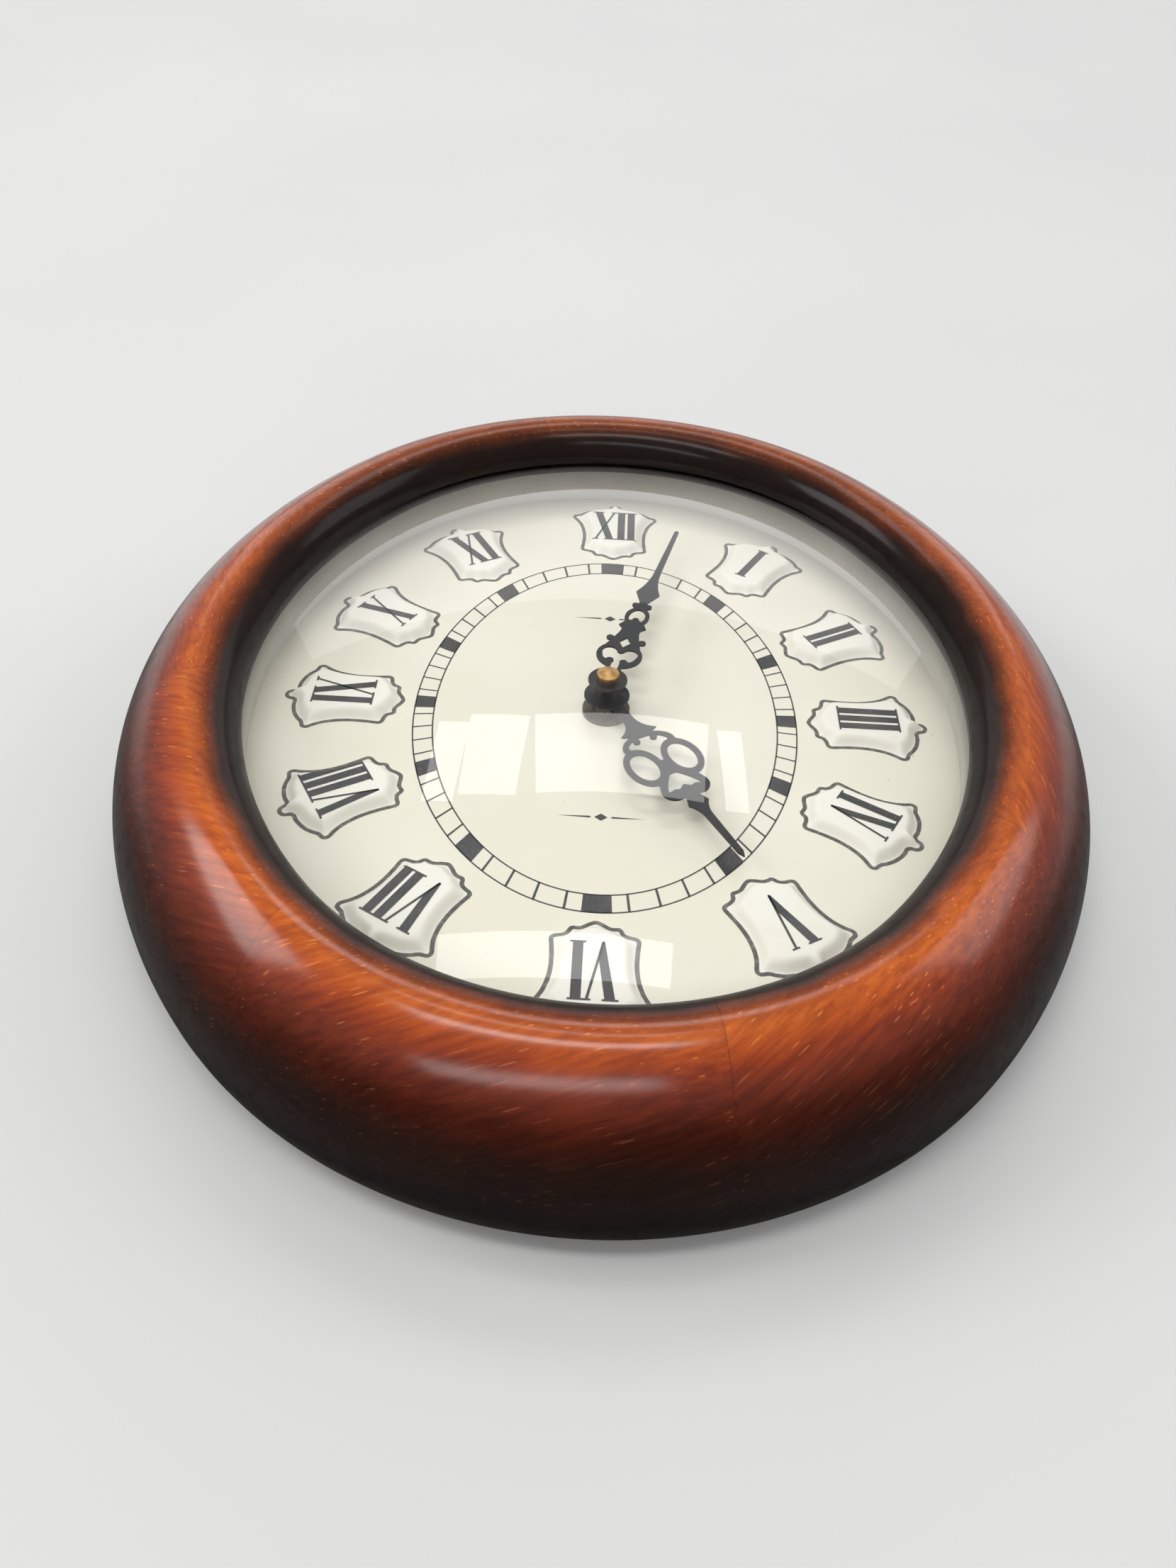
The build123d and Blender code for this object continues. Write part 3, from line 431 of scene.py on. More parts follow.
def run_tree(piece, tree, values):
    """Runs a tree on the piece with these named inputs, and keeps the result as a plain mesh."""
    tool = piece.modifiers.new(tree.name, "NODES")
    tool.node_group = tree
    for item in tree.interface.items_tree:
        if item.in_out == "INPUT" and item.name in values:
            tool[item.identifier] = values[item.name]
    return settle(piece)


def new_tree(name, inputs):
    """A Geometry Nodes tree with a geometry socket each way and these named inputs."""
    tree = bpy.data.node_groups.new(name, "GeometryNodeTree")
    tree.interface.new_socket("Geometry", in_out="INPUT", socket_type="NodeSocketGeometry")
    tree.interface.new_socket("Geometry", in_out="OUTPUT", socket_type="NodeSocketGeometry")
    for label, kind in inputs.items():
        tree.interface.new_socket(label, in_out="INPUT", socket_type=kind)
    flow = Flow(tree)
    source = flow.add("NodeGroupInput")
    return tree, flow, {socket.name: Val(flow, socket) for socket in source.outputs if socket.name}


def end_tree(flow, geometry, material):
    """Ends a Geometry Nodes tree in real meshes of one material."""
    real = flow.get("GeometryNodeRealizeInstances", 0, None, {0: geometry})
    dressed = flow.get("GeometryNodeSetMaterial", 0, None, {"Geometry": real, "Material": material})
    flow.add("NodeGroupOutput", None, {0: dressed})


def dress(material, *nodes):
    """Gives these nodes of the frame one material."""
    for node in nodes:
        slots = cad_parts[node].data.materials
        slots.clear()
        slots.append(material)


# Wooden ring
def wood_finish(ring):
    """Stained and lacquered wood of glued segments; all lengths in mm."""
    material, flow = new_finish("sunburst_lacquered_beech")
    x, out, z = flow.point()
    spot = flow.vector(x, out, z)
    width, belly, lip_back = ring.width / MM, ring.belly_height / MM, ring.lip_back / MM
    rebate_edge, bare_edge, bare_top = 5.6, 29.2, 20.8
    grain_tilt = 0.3
    offset = oval_offset(flow, ring, x, z)
    reach = flow.math("SQRT", x * x + z * z)

    # glued segments: each has its own straight grain and its own tone
    part = ring.segments / (2 * math.pi)
    zigzag = (flow.math("PINGPONG", offset - out, 2.2) - 1.1) * flow.smooth(offset, 22.0, 27.0)
    stave = (flow.math("ARCTAN2", z, x) - ring.joint_turn + 0.6 * zigzag / reach) * part
    number = flow.math("FLOORED_MODULO", flow.math("FLOOR", stave), float(ring.segments))
    lean = 0.34 + 0.2 * flow.math("SINE", number * 1.5 - 7.6)
    facing = (number + 0.5) / part + ring.joint_turn + lean
    sine, cosine = flow.math("SINE", facing), flow.math("COSINE", facing)
    along = z * cosine - x * sine + number * 173.0
    across = x * cosine + z * sine
    along, depth = along + grain_tilt * out, out - grain_tilt * along
    share = flow.math("FRACT", stave)
    joint_gap = flow.math("MINIMUM", share, 1 - share) * reach / part
    joint = 1 - flow.smooth(joint_gap, 0.05, 0.28)

    # grain streaks, bright rays and fine pores
    def drawn_out(lengthwise, crosswise, detail, rough=0.5):
        stretched = flow.vector(along * lengthwise, across * crosswise, depth * crosswise)
        return flow.noise(stretched, 1.0, detail, rough)

    streaks = drawn_out(0.04, 0.7, 5.0, 0.62)
    broad = drawn_out(0.02, 0.07, 3.0)
    rays = flow.rays(along, across, depth, 6.5, 1.35, 3.0, 0.22)
    crowd = flow.smooth(drawn_out(0.03, 0.05, 2.0), 0.3, 0.55)
    fleck = rays * (0.35 + 0.65 * crowd)
    pores = flow.rays(along + 41.0, across, depth, 1.9, 0.5, 0.8, 0.08)
    mottle = flow.noise(spot, 0.75, 3.0, 0.7)

    # sunburst stain across the section, with painted shade darkening it towards the top
    wander = (flow.noise(spot, 0.045, 3.0) - 0.5) * 5.0
    sag = 1.0 - 1.5 * z / reach
    place = (offset - sag + wander + (streaks - 0.5) * 1.5 + (mottle - 0.5) * 1.6) / width
    burst = flow.ramp(place, [
        (0.0, tone(22, 15, 12)), (0.1, tone(46, 27, 18)), (0.165, tone(118, 58, 28)),
        (0.24, tone(187, 92, 32)), (0.31, tuple(ring.crown)), (0.4, tone(196, 89, 25)),
        (0.51, tone(155, 60, 19)), (0.62, tone(118, 44, 16)), (0.73, tone(78, 30, 14)),
        (0.85, tone(40, 19, 11)), (1.0, tone(16, 11, 9))])
    # painted shade: the stain darkens towards the top of the ring
    burst = flow.mix(0.5 * flow.smooth(z / reach, 0.05, 0.9), burst, tone(18, 10, 7))
    above = flow.smooth(out, belly - 2.0, belly + 8.0)
    stain = flow.mix(above, tone(14, 10, 8), burst)
    grain = flow.mix(flow.smooth(streaks, 0.3, 0.72), tone(255, 250, 244), tone(196, 168, 150))
    wood = flow.mix(0.8, stain, grain, "MULTIPLY")
    cloudy = flow.smooth(broad, 0.35, 0.65) * 0.6 + 0.4 * flow.math("FRACT", number * 0.377)
    wood = flow.mix(0.6, wood, flow.mix(cloudy, tone(255, 255, 255), tone(205, 186, 176)), "MULTIPLY")
    lit = flow.smooth(place, 0.1, 0.28) * (1 - 0.95 * flow.smooth(place, 0.36, 0.66)) * above
    wood = flow.mix(fleck * lit * 0.7, wood, tuple(ring.fleck))
    dash = fleck * above * flow.smooth(place, 0.3, 0.5) * (1 - 0.85 * flow.smooth(place, 0.6, 0.95))
    dash_light = (0.085, 0.032, 0.012, 1.0)
    wood = flow.mix(dash, wood, dash_light, "ADD")
    wood = flow.mix(pores * 0.3 + joint * 0.3, wood, tone(24, 13, 9))

    # the glass rebate under the lip is painted near-black
    wood = flow.mix((offset < rebate_edge) * (out < lip_back + 0.1), wood, tone(20, 14, 11))

    # the flat back and the steps inside carry thin stain only
    bare = (offset < bare_edge) * (out < bare_top)
    raw = flow.mix(flow.smooth(streaks, 0.3, 0.7), tone(176, 128, 84), tone(128, 84, 52))
    raw = flow.mix(pores * 0.4 + fleck * 0.25 + joint * 0.4, raw, tone(86, 54, 34))
    colour = flow.mix(bare, wood, raw)

    # the lacquer's waves, scuffs and gloss, which ends where the belly turns under
    scuffs = flow.noise(spot, 0.22, 6.0, 0.7)
    peel = flow.noise(spot, 0.5, 2.0)
    height = peel * 0.5 + streaks * 0.16 - pores * 0.1 - joint * 0.25
    normal = flow.bump(height, 0.3, 0.16 * MM)
    rough = 0.5 + 0.25 * bare + 0.1 * flow.smooth(scuffs, 0.45, 0.7) + 0.15 * (1 - above)
    inner_gloss = 0.3 + 0.7 * flow.smooth(offset, 5.0, 12.0)
    gloss = inner_gloss * (1 - 0.96 * flow.smooth(offset, 21.5, 28.5)) * above
    coat = (1 - bare) * (0.03 + 0.77 * gloss) * (1 - 0.25 * flow.smooth(scuffs, 0.5, 0.75))
    flow.show(flow.skin(base_color=colour, roughness=rough, normal=normal, coat_weight=coat,
                        coat_roughness=0.165, coat_ior=1.5, specular_ior_level=0.04))
    return material


def back_edge_of(ring):
    """How far outside the opening the flat back ends."""
    return ring.width - ring.under_round + math.sqrt(ring.under_round ** 2 - ring.belly_height ** 2)


def ring_section(ring):
    """Closed outline of the wood's section: distance outside the opening and height above the wall."""
    belly = (ring.width - ring.belly_radius, ring.belly_height)
    lift = math.sqrt((ring.belly_radius - ring.lip_round) ** 2 - (ring.lip_round - belly[0]) ** 2)
    lip = (ring.lip_round, ring.belly_height + lift)
    under = (ring.width - ring.under_round, ring.belly_height)
    edge = back_edge_of(ring)
    touch = math.atan2(lift, ring.lip_round - belly[0])
    last = math.atan2(-ring.belly_height, edge - under[0])
    step = -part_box("dial_clips")[0].y
    return [(0.0, ring.lip_back),
            *arc(lip, ring.lip_round, math.pi, touch, 18),
            *arc(belly, ring.belly_radius, touch, 0.0, 30)[1:],
            *arc(under, ring.under_round, 0.0, last, 12)[1:],
            (ring.ledge, 0.0), (ring.ledge, step), (ring.rebate, step), (ring.rebate, ring.lip_back)]


def block_between(name, low, high, corner):
    """A cutter with rounded corners as seen from the front."""
    left, right, foot, head = low.x + corner, high.x - corner, low.z + corner, high.z - corner
    spots = []
    for quarter, centre in enumerate(((right, head), (left, head), (left, foot), (right, foot))):
        spots += arc(centre, corner, math.pi / 2 * quarter, math.pi / 2 * (quarter + 1), 6)
    points = [Vector((x, y, z)) for y in (low.y, high.y) for x, z in spots]
    count = len(spots)
    faces = [tuple(range(count)), tuple(range(2 * count - 1, count - 1, -1))]
    faces += [(i, (i + 1) % count, (i + 1) % count + count, i + count) for i in range(count)]
    return new_piece(name, points, faces)


class CLOCK_OT_wood_ring(bpy.types.Operator):
    """Turned ring of glued beech with its sunburst stain and the hanger's recess"""
    bl_idname = "clock.wood_ring"
    bl_label = "Wooden ring"

    def execute(self, context):
        ring = context.scene.clock_ring
        outline = ring_section(ring)
        bearings = oval_bearings(ring, 360)
        points = [upright(*oval_point(ring, bearing, across), height)
                  for bearing in bearings for across, height in outline]
        faces = strip_faces(len(bearings), len(outline), True, True)
        piece = new_piece("wood_ring_turned", points, faces, wood_finish(ring), smooth_angle=32)

        # the hanger's recess and the deeper room for the nail's head, cut from behind the back
        free, behind, corner = 0.3 * MM, 2 * MM, 2.3 * MM
        recess = block_between("recess", Vector((hanger_low.x - free, hanger_low.y, hanger_low.z - free)),
                               Vector((hanger_high.x + free, behind, hanger_high.z + free)), corner)
        half, depth, foot, room_corner = 6.8 * MM, 8 * MM, 1.9 * MM, 1.0 * MM
        room = block_between("nail_room", Vector((-half, hanger_low.y - depth, hanger_low.z + foot)),
                             Vector((half, behind, hanger_high.z)), room_corner)
        cut_away(piece, [recess, room])
        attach(piece, "frame")
        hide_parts("wood_ring")
        return {"FINISHED"}


# Glass and the band below it
def glass_finish(glass):
    """Clear glass that mirrors on its outer side, with dust specks and a thin film."""
    material, flow = new_finish("domed_clear_glass")
    place = flow.place()
    facing = flow.get("ShaderNodeLayerWeight", "Facing", None, {"Blend": 0.5})
    inside = flow.get("ShaderNodeNewGeometry", "Backfacing")
    mirror = (0.04 + 0.96 * facing ** 5.0) * (1 - inside)
    clear = flow.get("ShaderNodeBsdfTransparent", 0, None, {"Color": tuple(glass.tint)})
    shine = flow.get("ShaderNodeBsdfGlossy", 0, None, {"Color": (1, 1, 1, 1), "Roughness": 0.015})
    pane = flow.blend(mirror, clear, shine)
    dust = flow.get("ShaderNodeBsdfDiffuse", 0, None, {"Color": tone(214, 208, 196)})
    grit = flow.specks(place, 0.16, 0.018, 0.04, 0.6) * 0.55
    film = flow.smooth(flow.noise(place, 0.05, 4.0), 0.5, 0.8) * 0.03
    flow.show(flow.blend(grit + film, pane, dust))
    return material


def band_finish():
    """Card band from the dial to the glass: pale grey, with painted shade of the lip darkening it along
    the glass, and some dust.
    """
    material, flow = new_finish("grey_card_band")
    x, out, z = flow.point()
    place = flow.vector(x, out, z)
    clouds = flow.noise(place, 0.08, 3.0)
    fibres = flow.noise(place, 1.2, 4.0, 0.7)
    rise = out + (clouds - 0.5) * 2.0 + (fibres - 0.5) * 1.2
    # painted shade of the lip: the card darkens towards the glass
    card = flow.mix(flow.smooth(rise, 24.0, 34.0), tone(202, 200, 193), tone(150, 149, 144))
    dust = flow.smooth(fibres, 0.5, 0.72) * flow.smooth(clouds, 0.35, 0.6)
    card = flow.mix(dust * 0.35, card, tone(138, 136, 129))
    normal = flow.bump(fibres, 0.2, 0.08 * MM)
    flow.show(flow.skin(base_color=card, roughness=0.75 + 0.1 * dust, normal=normal,
                        specular_ior_level=0.2))
    return material


class CLOCK_OT_glass(bpy.types.Operator):
    """Domed oval glass and the band below it"""
    bl_idname = "clock.glass"
    bl_label = "Glass"

    def execute(self, context):
        glass = context.scene.clock_glass
        half_width, half_height = glass_high.x, glass_high.z
        top, edge = -glass_low.y, -glass_high.y
        rise = top - edge - glass.thickness
        ball = (half_height ** 2 + rise ** 2) / (2 * rise)
        rings, columns = 40, 160
        points = [upright(0, 0, top), upright(0, 0, top - glass.thickness)]
        for wall in (0.0, glass.thickness):
            for i in range(1, rings + 1):
                share = i / rings
                height = top - ball + math.sqrt(ball ** 2 - (share * half_height) ** 2) - wall
                for k in range(columns):
                    turn = 2 * math.pi * k / columns
                    points.append(upright(share * half_width * math.cos(turn),
                                          share * half_height * math.sin(turn), height))
        faces = []
        for side in (0, 1):
            start = 2 + side * rings * columns
            faces += [(side, start + k, start + (k + 1) % columns) for k in range(columns)]
            grid = strip_faces(rings, columns, False, True)
            faces += [tuple(start + corner for corner in face) for face in grid]
        outer, inner = 2 + (rings - 1) * columns, 2 + (2 * rings - 1) * columns
        for k in range(columns):
            m = (k + 1) % columns
            faces.append((outer + k, outer + m, inner + m, inner + k))
        piece = new_piece("glass_dome_clear", points, faces, glass_finish(glass), smooth_angle=40)
        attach(piece, "frame")
        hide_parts("glass_dome")
        dress(band_finish(), "spacer_ring")
        return {"FINISHED"}


# Dial
def dial_finish(ring, dial):
    """Cream print with painted shade of the lip along its edge, strongest at the top, and some brown
    specks.
    """
    material, flow = new_finish("cream_dial_print")
    x, out, z = flow.point()
    place = flow.vector(x, out, z)
    offset = oval_offset(flow, ring, x, z)
    clouds = flow.noise(place, 0.02, 3.0)
    cloth = flow.noise(place, 1.4, 2.0)
    base = flow.mix(flow.smooth(clouds, 0.35, 0.7) * 0.5, tuple(dial.cream), tone(229, 223, 201))
    # painted shade of the lip, fading in from the dial's edge
    lip_shade = flow.smooth(offset + (clouds - 0.5) * 3.0, -16.0, 4.5) ** 1.3
    # the painted shade is strongest at the top
    top = flow.smooth(z / flow.math("SQRT", x * x + z * z), -0.3, 0.8)
    base = flow.mix(lip_shade * (0.3 + 0.6 * top), base, tuple(dial.shade))
    dots = flow.specks(place, 0.13, 0.02, 0.05, 0.62)
    colour = flow.mix(dots * 0.45, base, tone(120, 104, 84))
    normal = flow.bump(cloth, 0.12, 0.03 * MM)
    flow.show(flow.skin(base_color=colour, roughness=0.45 + 0.1 * (cloth - 0.5), normal=normal))
    return material


def shield_finish(dial):
    """White enamel with a worn dark line round its edge."""
    material, flow = new_finish("white_shield_enamel")
    place = flow.place()
    inset = flow.get("ShaderNodeAttribute", "Fac", {"attribute_name": "inset"})
    wear = flow.noise(place, 0.7, 5.0, 0.7)
    clouds = flow.noise(place, 0.1, 3.0)
    field = flow.mix(flow.smooth(clouds, 0.45, 0.75) * 0.4, tuple(dial.enamel), tone(236, 231, 214))
    edge = inset + 0.16 * (wear - 0.5)
    end, soft = dial.shield_line / MM, 0.12
    line = 1 - flow.smooth(edge, end - soft, end + soft)
    ink = flow.mix(flow.smooth(wear, 0.42, 0.72), tuple(dial.outline), tone(112, 107, 98))
    colour = flow.mix(line * 0.92, field, ink)
    normal = flow.bump(clouds, 0.2, 0.15 * MM)
    flow.show(flow.skin(base_color=colour, roughness=0.42 + 0.15 * line, normal=normal,
                        specular_ior_level=0.35))
    return material


def ink_finish(name, colour, worn):
    """Dark print, worn through in small specks."""
    material, flow = new_finish(name)
    place = flow.place()
    wear = flow.noise(place, 1.9, 5.0, 0.75)
    specks = flow.smooth(wear, 0.56, 0.68)
    fade = flow.noise(place, 0.1, 2.0)
    body = flow.mix(flow.smooth(fade, 0.4, 0.7), colour, tone(58, 57, 56))
    body = flow.mix(specks * worn, body, tone(150, 146, 138))
    flow.show(flow.skin(base_color=body, roughness=0.4 + 0.2 * specks))
    return material


# right half of a shield's edge in mm, from its inner tip to its head
SHIELD_HALF = ((0, -16.4), (1.6, -15.8), (3.2, -14.75), (4.3, -14.5), (5.5, -14.55), (6.3, -13.9),
               (6.9, -12.75), (8.0, -12.2), (9.3, -11.95), (10.3, -11.3), (10.6, -10.2), (10.4, -8.2),
               (10.2, -5.0), (10.25, -2.0), (10.7, 1.2), (11.6, 4.2), (12.7, 6.3), (13.65, 7.7),
               (13.95, 8.8), (13.5, 9.9), (12.5, 10.35), (11.5, 10.7), (10.4, 11.7), (8.6, 12.9),
               (6.4, 13.7), (4.2, 14.1), (2.75, 14.05), (2.2, 14.7), (1.95, 15.6), (1.2, 16.5), (0, 16.85))
# rows of a shield's mesh, as shares of its edge
SHIELD_ROWS = (1.0, 0.985, 0.97, 0.95, 0.93, 0.905, 0.88, 0.85, 0.82, 0.785, 0.75, 0.71, 0.67, 0.63, 0.585,
               0.54, 0.49, 0.43, 0.36, 0.28, 0.18, 0.08)
# centres of the first four shields in mm, from 12 to 3 o'clock
SHIELD_QUARTER = ((0.0, 93.0), (44.0, 75.0), (65.9, 38.5), (71.8, 0.0))
NUMERALS = ("XII", "I", "II", "III", "IV", "V", "VI", "VII", "VIII", "IX", "X", "XI")


def shield_outline():
    """Points of the shield's edge in mm, anticlockwise from its tip, smooth through the half's points."""
    half = SHIELD_HALF
    path = [(-half[1][0], half[1][1]), *half, (-half[-2][0], half[-2][1])]
    right = [half[0]]
    for before, start, end, after in zip(path, path[1:], path[2:], path[3:]):
        for step in (1 / 3, 2 / 3, 1.0):
            right.append(tuple(0.5 * (2 * b + (c - a) * step + (2 * a - 5 * b + 4 * c - d) * step ** 2
                                      + (3 * b - a - 3 * c + d) * step ** 3)
                               for a, b, c, d in zip(before, start, end, after)))
    return right + [(-x, y) for x, y in reversed(right[1:-1])]


def shield_inset(outline, x, y):
    """Distance from a place inside the shield to its edge, in mm."""
    nearest = 99.0
    for (ax, ay), (bx, by) in zip(outline, outline[1:] + outline[:1]):
        dx, dy = bx - ax, by - ay
        share = min(max(((x - ax) * dx + (y - ay) * dy) / (dx * dx + dy * dy), 0.0), 1.0)
        nearest = min(nearest, math.hypot(x - ax - share * dx, y - ay - share * dy))
    return nearest


def shield_depth(outline, x, y):
    """Distance to the edge without creases: as it is near the edge, an even mean of it all further in."""
    near = shield_inset(outline, x, y)
    even_from, even_over, nearest_gap, pull = 0.6, 0.8, 0.3, 0.0
    for (ax, ay), (bx, by) in zip(outline, outline[1:] + outline[:1]):
        gap = math.hypot(x - (ax + bx) / 2, y - (ay + by) / 2)
        pull += math.hypot(bx - ax, by - ay) / max(gap, nearest_gap) ** 4
    even = (2 * pull / math.pi) ** (-1 / 3)
    share = min(max((near - even_from) / even_over, 0.0), 1.0)
    return near + share * (even - near)


def shield_height(dial, outline, x, y):
    """Height of the raised shield above the dial, in metres: a soft slope, and a bud at its head."""
    share = (shield_depth(outline, x, y) * MM - 0.9 * dial.shield_line) / dial.shield_slope
    share = min(max(share, 0.0), 1.0)
    bud_rise, bud_y, bud_width, bud_length = 0.45, 13.6, 1.5, 1.8
    bud = bud_rise * math.exp(-(x / bud_width) ** 2 - ((y - bud_y) / bud_length) ** 2)
    return dial.shield_rise * (share * share * (3 - 2 * share) + bud * min(1.0, 3 * share))


def shield_places():
    """Centre of each shield on the dial in mm, from 12 o'clock on, with the turn of its head."""
    places = []
    for hour in range(12):
        step = hour % 6 if hour % 6 <= 3 else 6 - hour % 6
        x, y = SHIELD_QUARTER[step]
        right = 1 if hour < 6 else -1
        up = 1 if hour < 3 or hour > 9 else -1
        places.append((x * right, y * up, -math.radians(30 * hour)))
    return places


def on_shield(place, x, y):
    """A place given from a shield's centre, in mm, as a place on the dial in metres."""
    cx, cy, turn = place
    sine, cosine = math.sin(turn), math.cos(turn)
    return (cx + x * cosine - y * sine) * MM, (cy + x * sine + y * cosine) * MM


class CLOCK_OT_dial(bpy.types.Operator):
    """Dial sheet with painted shade at its edge and the twelve raised shields"""
    bl_idname = "clock.dial"
    bl_label = "Dial and shields"

    def execute(self, context):
        ring, dial = context.scene.clock_ring, context.scene.clock_dial
        front = -dial_y
        bearings = oval_bearings(ring, 180)
        rows = 12
        steps = [i / rows for i in range(rows + 1)]
        points = []
        for height, walk in ((front, steps), (front - dial.thickness, steps[::-1])):
            for share in walk:
                for bearing in bearings:
                    edge = oval_point(ring, bearing, dial.overlap)
                    inner = (dial.hole * math.cos(bearing), dial.hole * math.sin(bearing))
                    points.append(upright(inner[0] + share * (edge[0] - inner[0]),
                                          inner[1] + share * (edge[1] - inner[1]), height))
        faces = strip_faces(2 * len(steps), len(bearings), True, True)
        sheet = new_piece("dial_sheet", points, faces, dial_finish(ring, dial), smooth_angle=30)
        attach(sheet, "frame")
        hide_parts("dial_plate")
        self.make_shields(dial)
        return {"FINISHED"}

    def make_shields(self, dial):
        """One shield as a pattern, copied to its twelve places."""
        outline = shield_outline()
        flat = [(0.0, 0.0)] + [(x * share, y * share) for share in SHIELD_ROWS for x, y in outline]
        points = [upright(x * MM, y * MM, shield_height(dial, outline, x, y)) for x, y in flat]
        count = len(outline)
        faces = [tuple(1 + corner for corner in face[::-1])
                 for face in strip_faces(len(SHIELD_ROWS), count, False, True)]
        last = 1 + (len(SHIELD_ROWS) - 1) * count
        faces += [(last + k, last + (k + 1) % count, 0) for k in range(count)]
        pattern = new_piece("shield_pattern", points, faces, smooth_angle=60, closed=False)
        mark_points(pattern, "inset", [shield_inset(outline, x, y) for x, y in flat])

        spots = [upright(x * MM, y * MM, -dial_y + 0.5 * INK_LIFT) for x, y, _ in shield_places()]
        piece = new_piece("numeral_shields", spots, [], closed=False)
        mark_points(piece, "turn", [-turn for _, _, turn in shield_places()])

        tree, flow, given = new_tree("shields_on_dial", {"Pattern": "NodeSocketObject"})
        shape = flow.get("GeometryNodeObjectInfo", "Geometry", {"transform_space": "ORIGINAL"},
                         {"Object": given["Pattern"]})
        turn = flow.get("GeometryNodeInputNamedAttribute", 0, {"data_type": "FLOAT"}, {"Name": "turn"})
        copies = flow.get("GeometryNodeInstanceOnPoints", 0, None, {
            "Points": given["Geometry"], "Instance": shape, "Rotation": flow.vector(0.0, turn, 0.0)})
        end_tree(flow, copies, shield_finish(dial))
        run_tree(piece, tree, {"Pattern": pattern})
        bpy.data.objects.remove(pattern)
        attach(piece, "frame")


class CLOCK_OT_numerals(bpy.types.Operator):
    """Printed numerals on the shields and two small printed ornaments"""
    bl_idname = "clock.numerals"
    bl_label = "Numerals"

    # strokes, serifs and gaps in mm; serifs closer than joined become one
    thick, thin, serif, overhang, gap, joined = 2.35, 0.65, 0.5, 0.65, 0.85, 1.3
    # each letter's width, and its strokes as rows of (share of the height, left, right)
    letters = {
        "I": (thick, (((0.0, 0.0, thick), (1.0, 0.0, thick)),)),
        "V": (6.75, (((0.0, 2.75, 3.35), (0.3, 1.95, 4.0), (1.0, 0.0, thick)),
                     ((0.0, 2.75, 3.35), (1.0, 6.1, 6.1 + thin)))),
        "X": (6.75, (((0.0, 4.0, 4.0 + thick), (1.0, 0.0, thick)),
                     ((0.0, 0.2, 0.2 + thin), (1.0, 6.1, 6.1 + thin)))),
    }

    def serif_bars(self, ends):
        """Bars over the strokes' ends; bars of close strokes are one."""
        bars = []
        for left, right in sorted(ends):
            if bars and left - bars[-1][1] < self.joined:
                bars[-1][1] = max(right, bars[-1][1])
            else:
                bars.append([left, right])
        return [(left - self.overhang, right + self.overhang) for left, right in bars]

    def execute(self, context):
        dial = context.scene.clock_dial
        outline = shield_outline()
        high = dial.numeral_height / MM
        base = dial.numeral_out / MM - high / 2
        points, faces = [], []
        for place, word in zip(shield_places(), NUMERALS):
            x, strokes, feet, heads = 0.0, [], [], []
            for letter in word:
                width, shapes = self.letters[letter]
                made = [[(share, x + left, x + right) for share, left, right in shape] for shape in shapes]
                strokes += made
                feet += [stroke[0][1:] for stroke in made if letter != "V"]
                heads += [stroke[-1][1:] for stroke in made]
                x += width + self.gap
            middle = (x - self.gap) / 2
            for stroke in strokes:
                rows = [(base + share * high, left - middle, right - middle)
                        for share, left, right in stroke]
                self.add_stroke(points, faces, dial, outline, place, rows, 1.0)
            # the serif bars lie a little above the strokes
            for level, ends in ((base, feet), (base + high - self.serif, heads)):
                for left, right in self.serif_bars(ends):
                    rows = [(y, left - middle, right - middle) for y in (level, level + self.serif)]
                    self.add_stroke(points, faces, dial, outline, place, rows, 1.2)
        ink = ink_finish("numeral_ink", tuple(dial.ink), 0.55)
        piece = new_piece("numerals", points, faces, ink, closed=False)
        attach(piece, "frame")
        self.make_ornaments(ink)
        return {"FINISHED"}

    def add_stroke(self, points, faces, dial, outline, place, rows, lift):
        """One stroke, laid on the shield's round surface in short lengths."""
        spans = []
        for (low, a, b), (top, c, d) in zip(rows, rows[1:]):
            count = max(1, round((top - low) / INK_STEP))
            for i in range(count):
                share = i / count
                spans.append((low + (top - low) * share, a + (c - a) * share, b + (d - b) * share))
        spans.append(rows[-1])
        columns = max(3, round((spans[0][2] - spans[0][1]) / INK_STEP) + 1)
        start = len(points)
        for y, left, right in spans:
            for k in range(columns):
                x = left + (right - left) * k / (columns - 1)
                height = -dial_y + shield_height(dial, outline, x, y) + SHIELD_INK_LIFT * lift
                points.append(upright(*on_shield(place, x, y), height))
        for i in range(len(spans) - 1):
            for k in range(columns - 1):
                corner = start + i * columns + k
                faces.append((corner, corner + 1, corner + columns + 1, corner + columns))

    def make_ornaments(self, ink):
        """A lozenge between two tapered lines, printed above and below the middle; places in mm."""
        lozenge = ((0, -1.3), (1.7, 0), (0, 1.3), (-1.7, 0))
        right_line = ((2.4, 0.0), (3.0, -0.32), (11.0, 0.0), (3.0, 0.32))
        left_line = [(-x, y) for x, y in right_line[::-1]]
        points, faces = [], []
        for level in (44.0, -42.0):
            for shape in (lozenge, right_line, left_line):
                start = len(points)
                points += [upright(x * MM, (y + level) * MM, -dial_y + INK_LIFT) for x, y in shape]
                faces.append(tuple(range(start, start + len(shape))))
        piece = new_piece("dial_ornaments", points, faces, ink, closed=False)
        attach(piece, "frame")


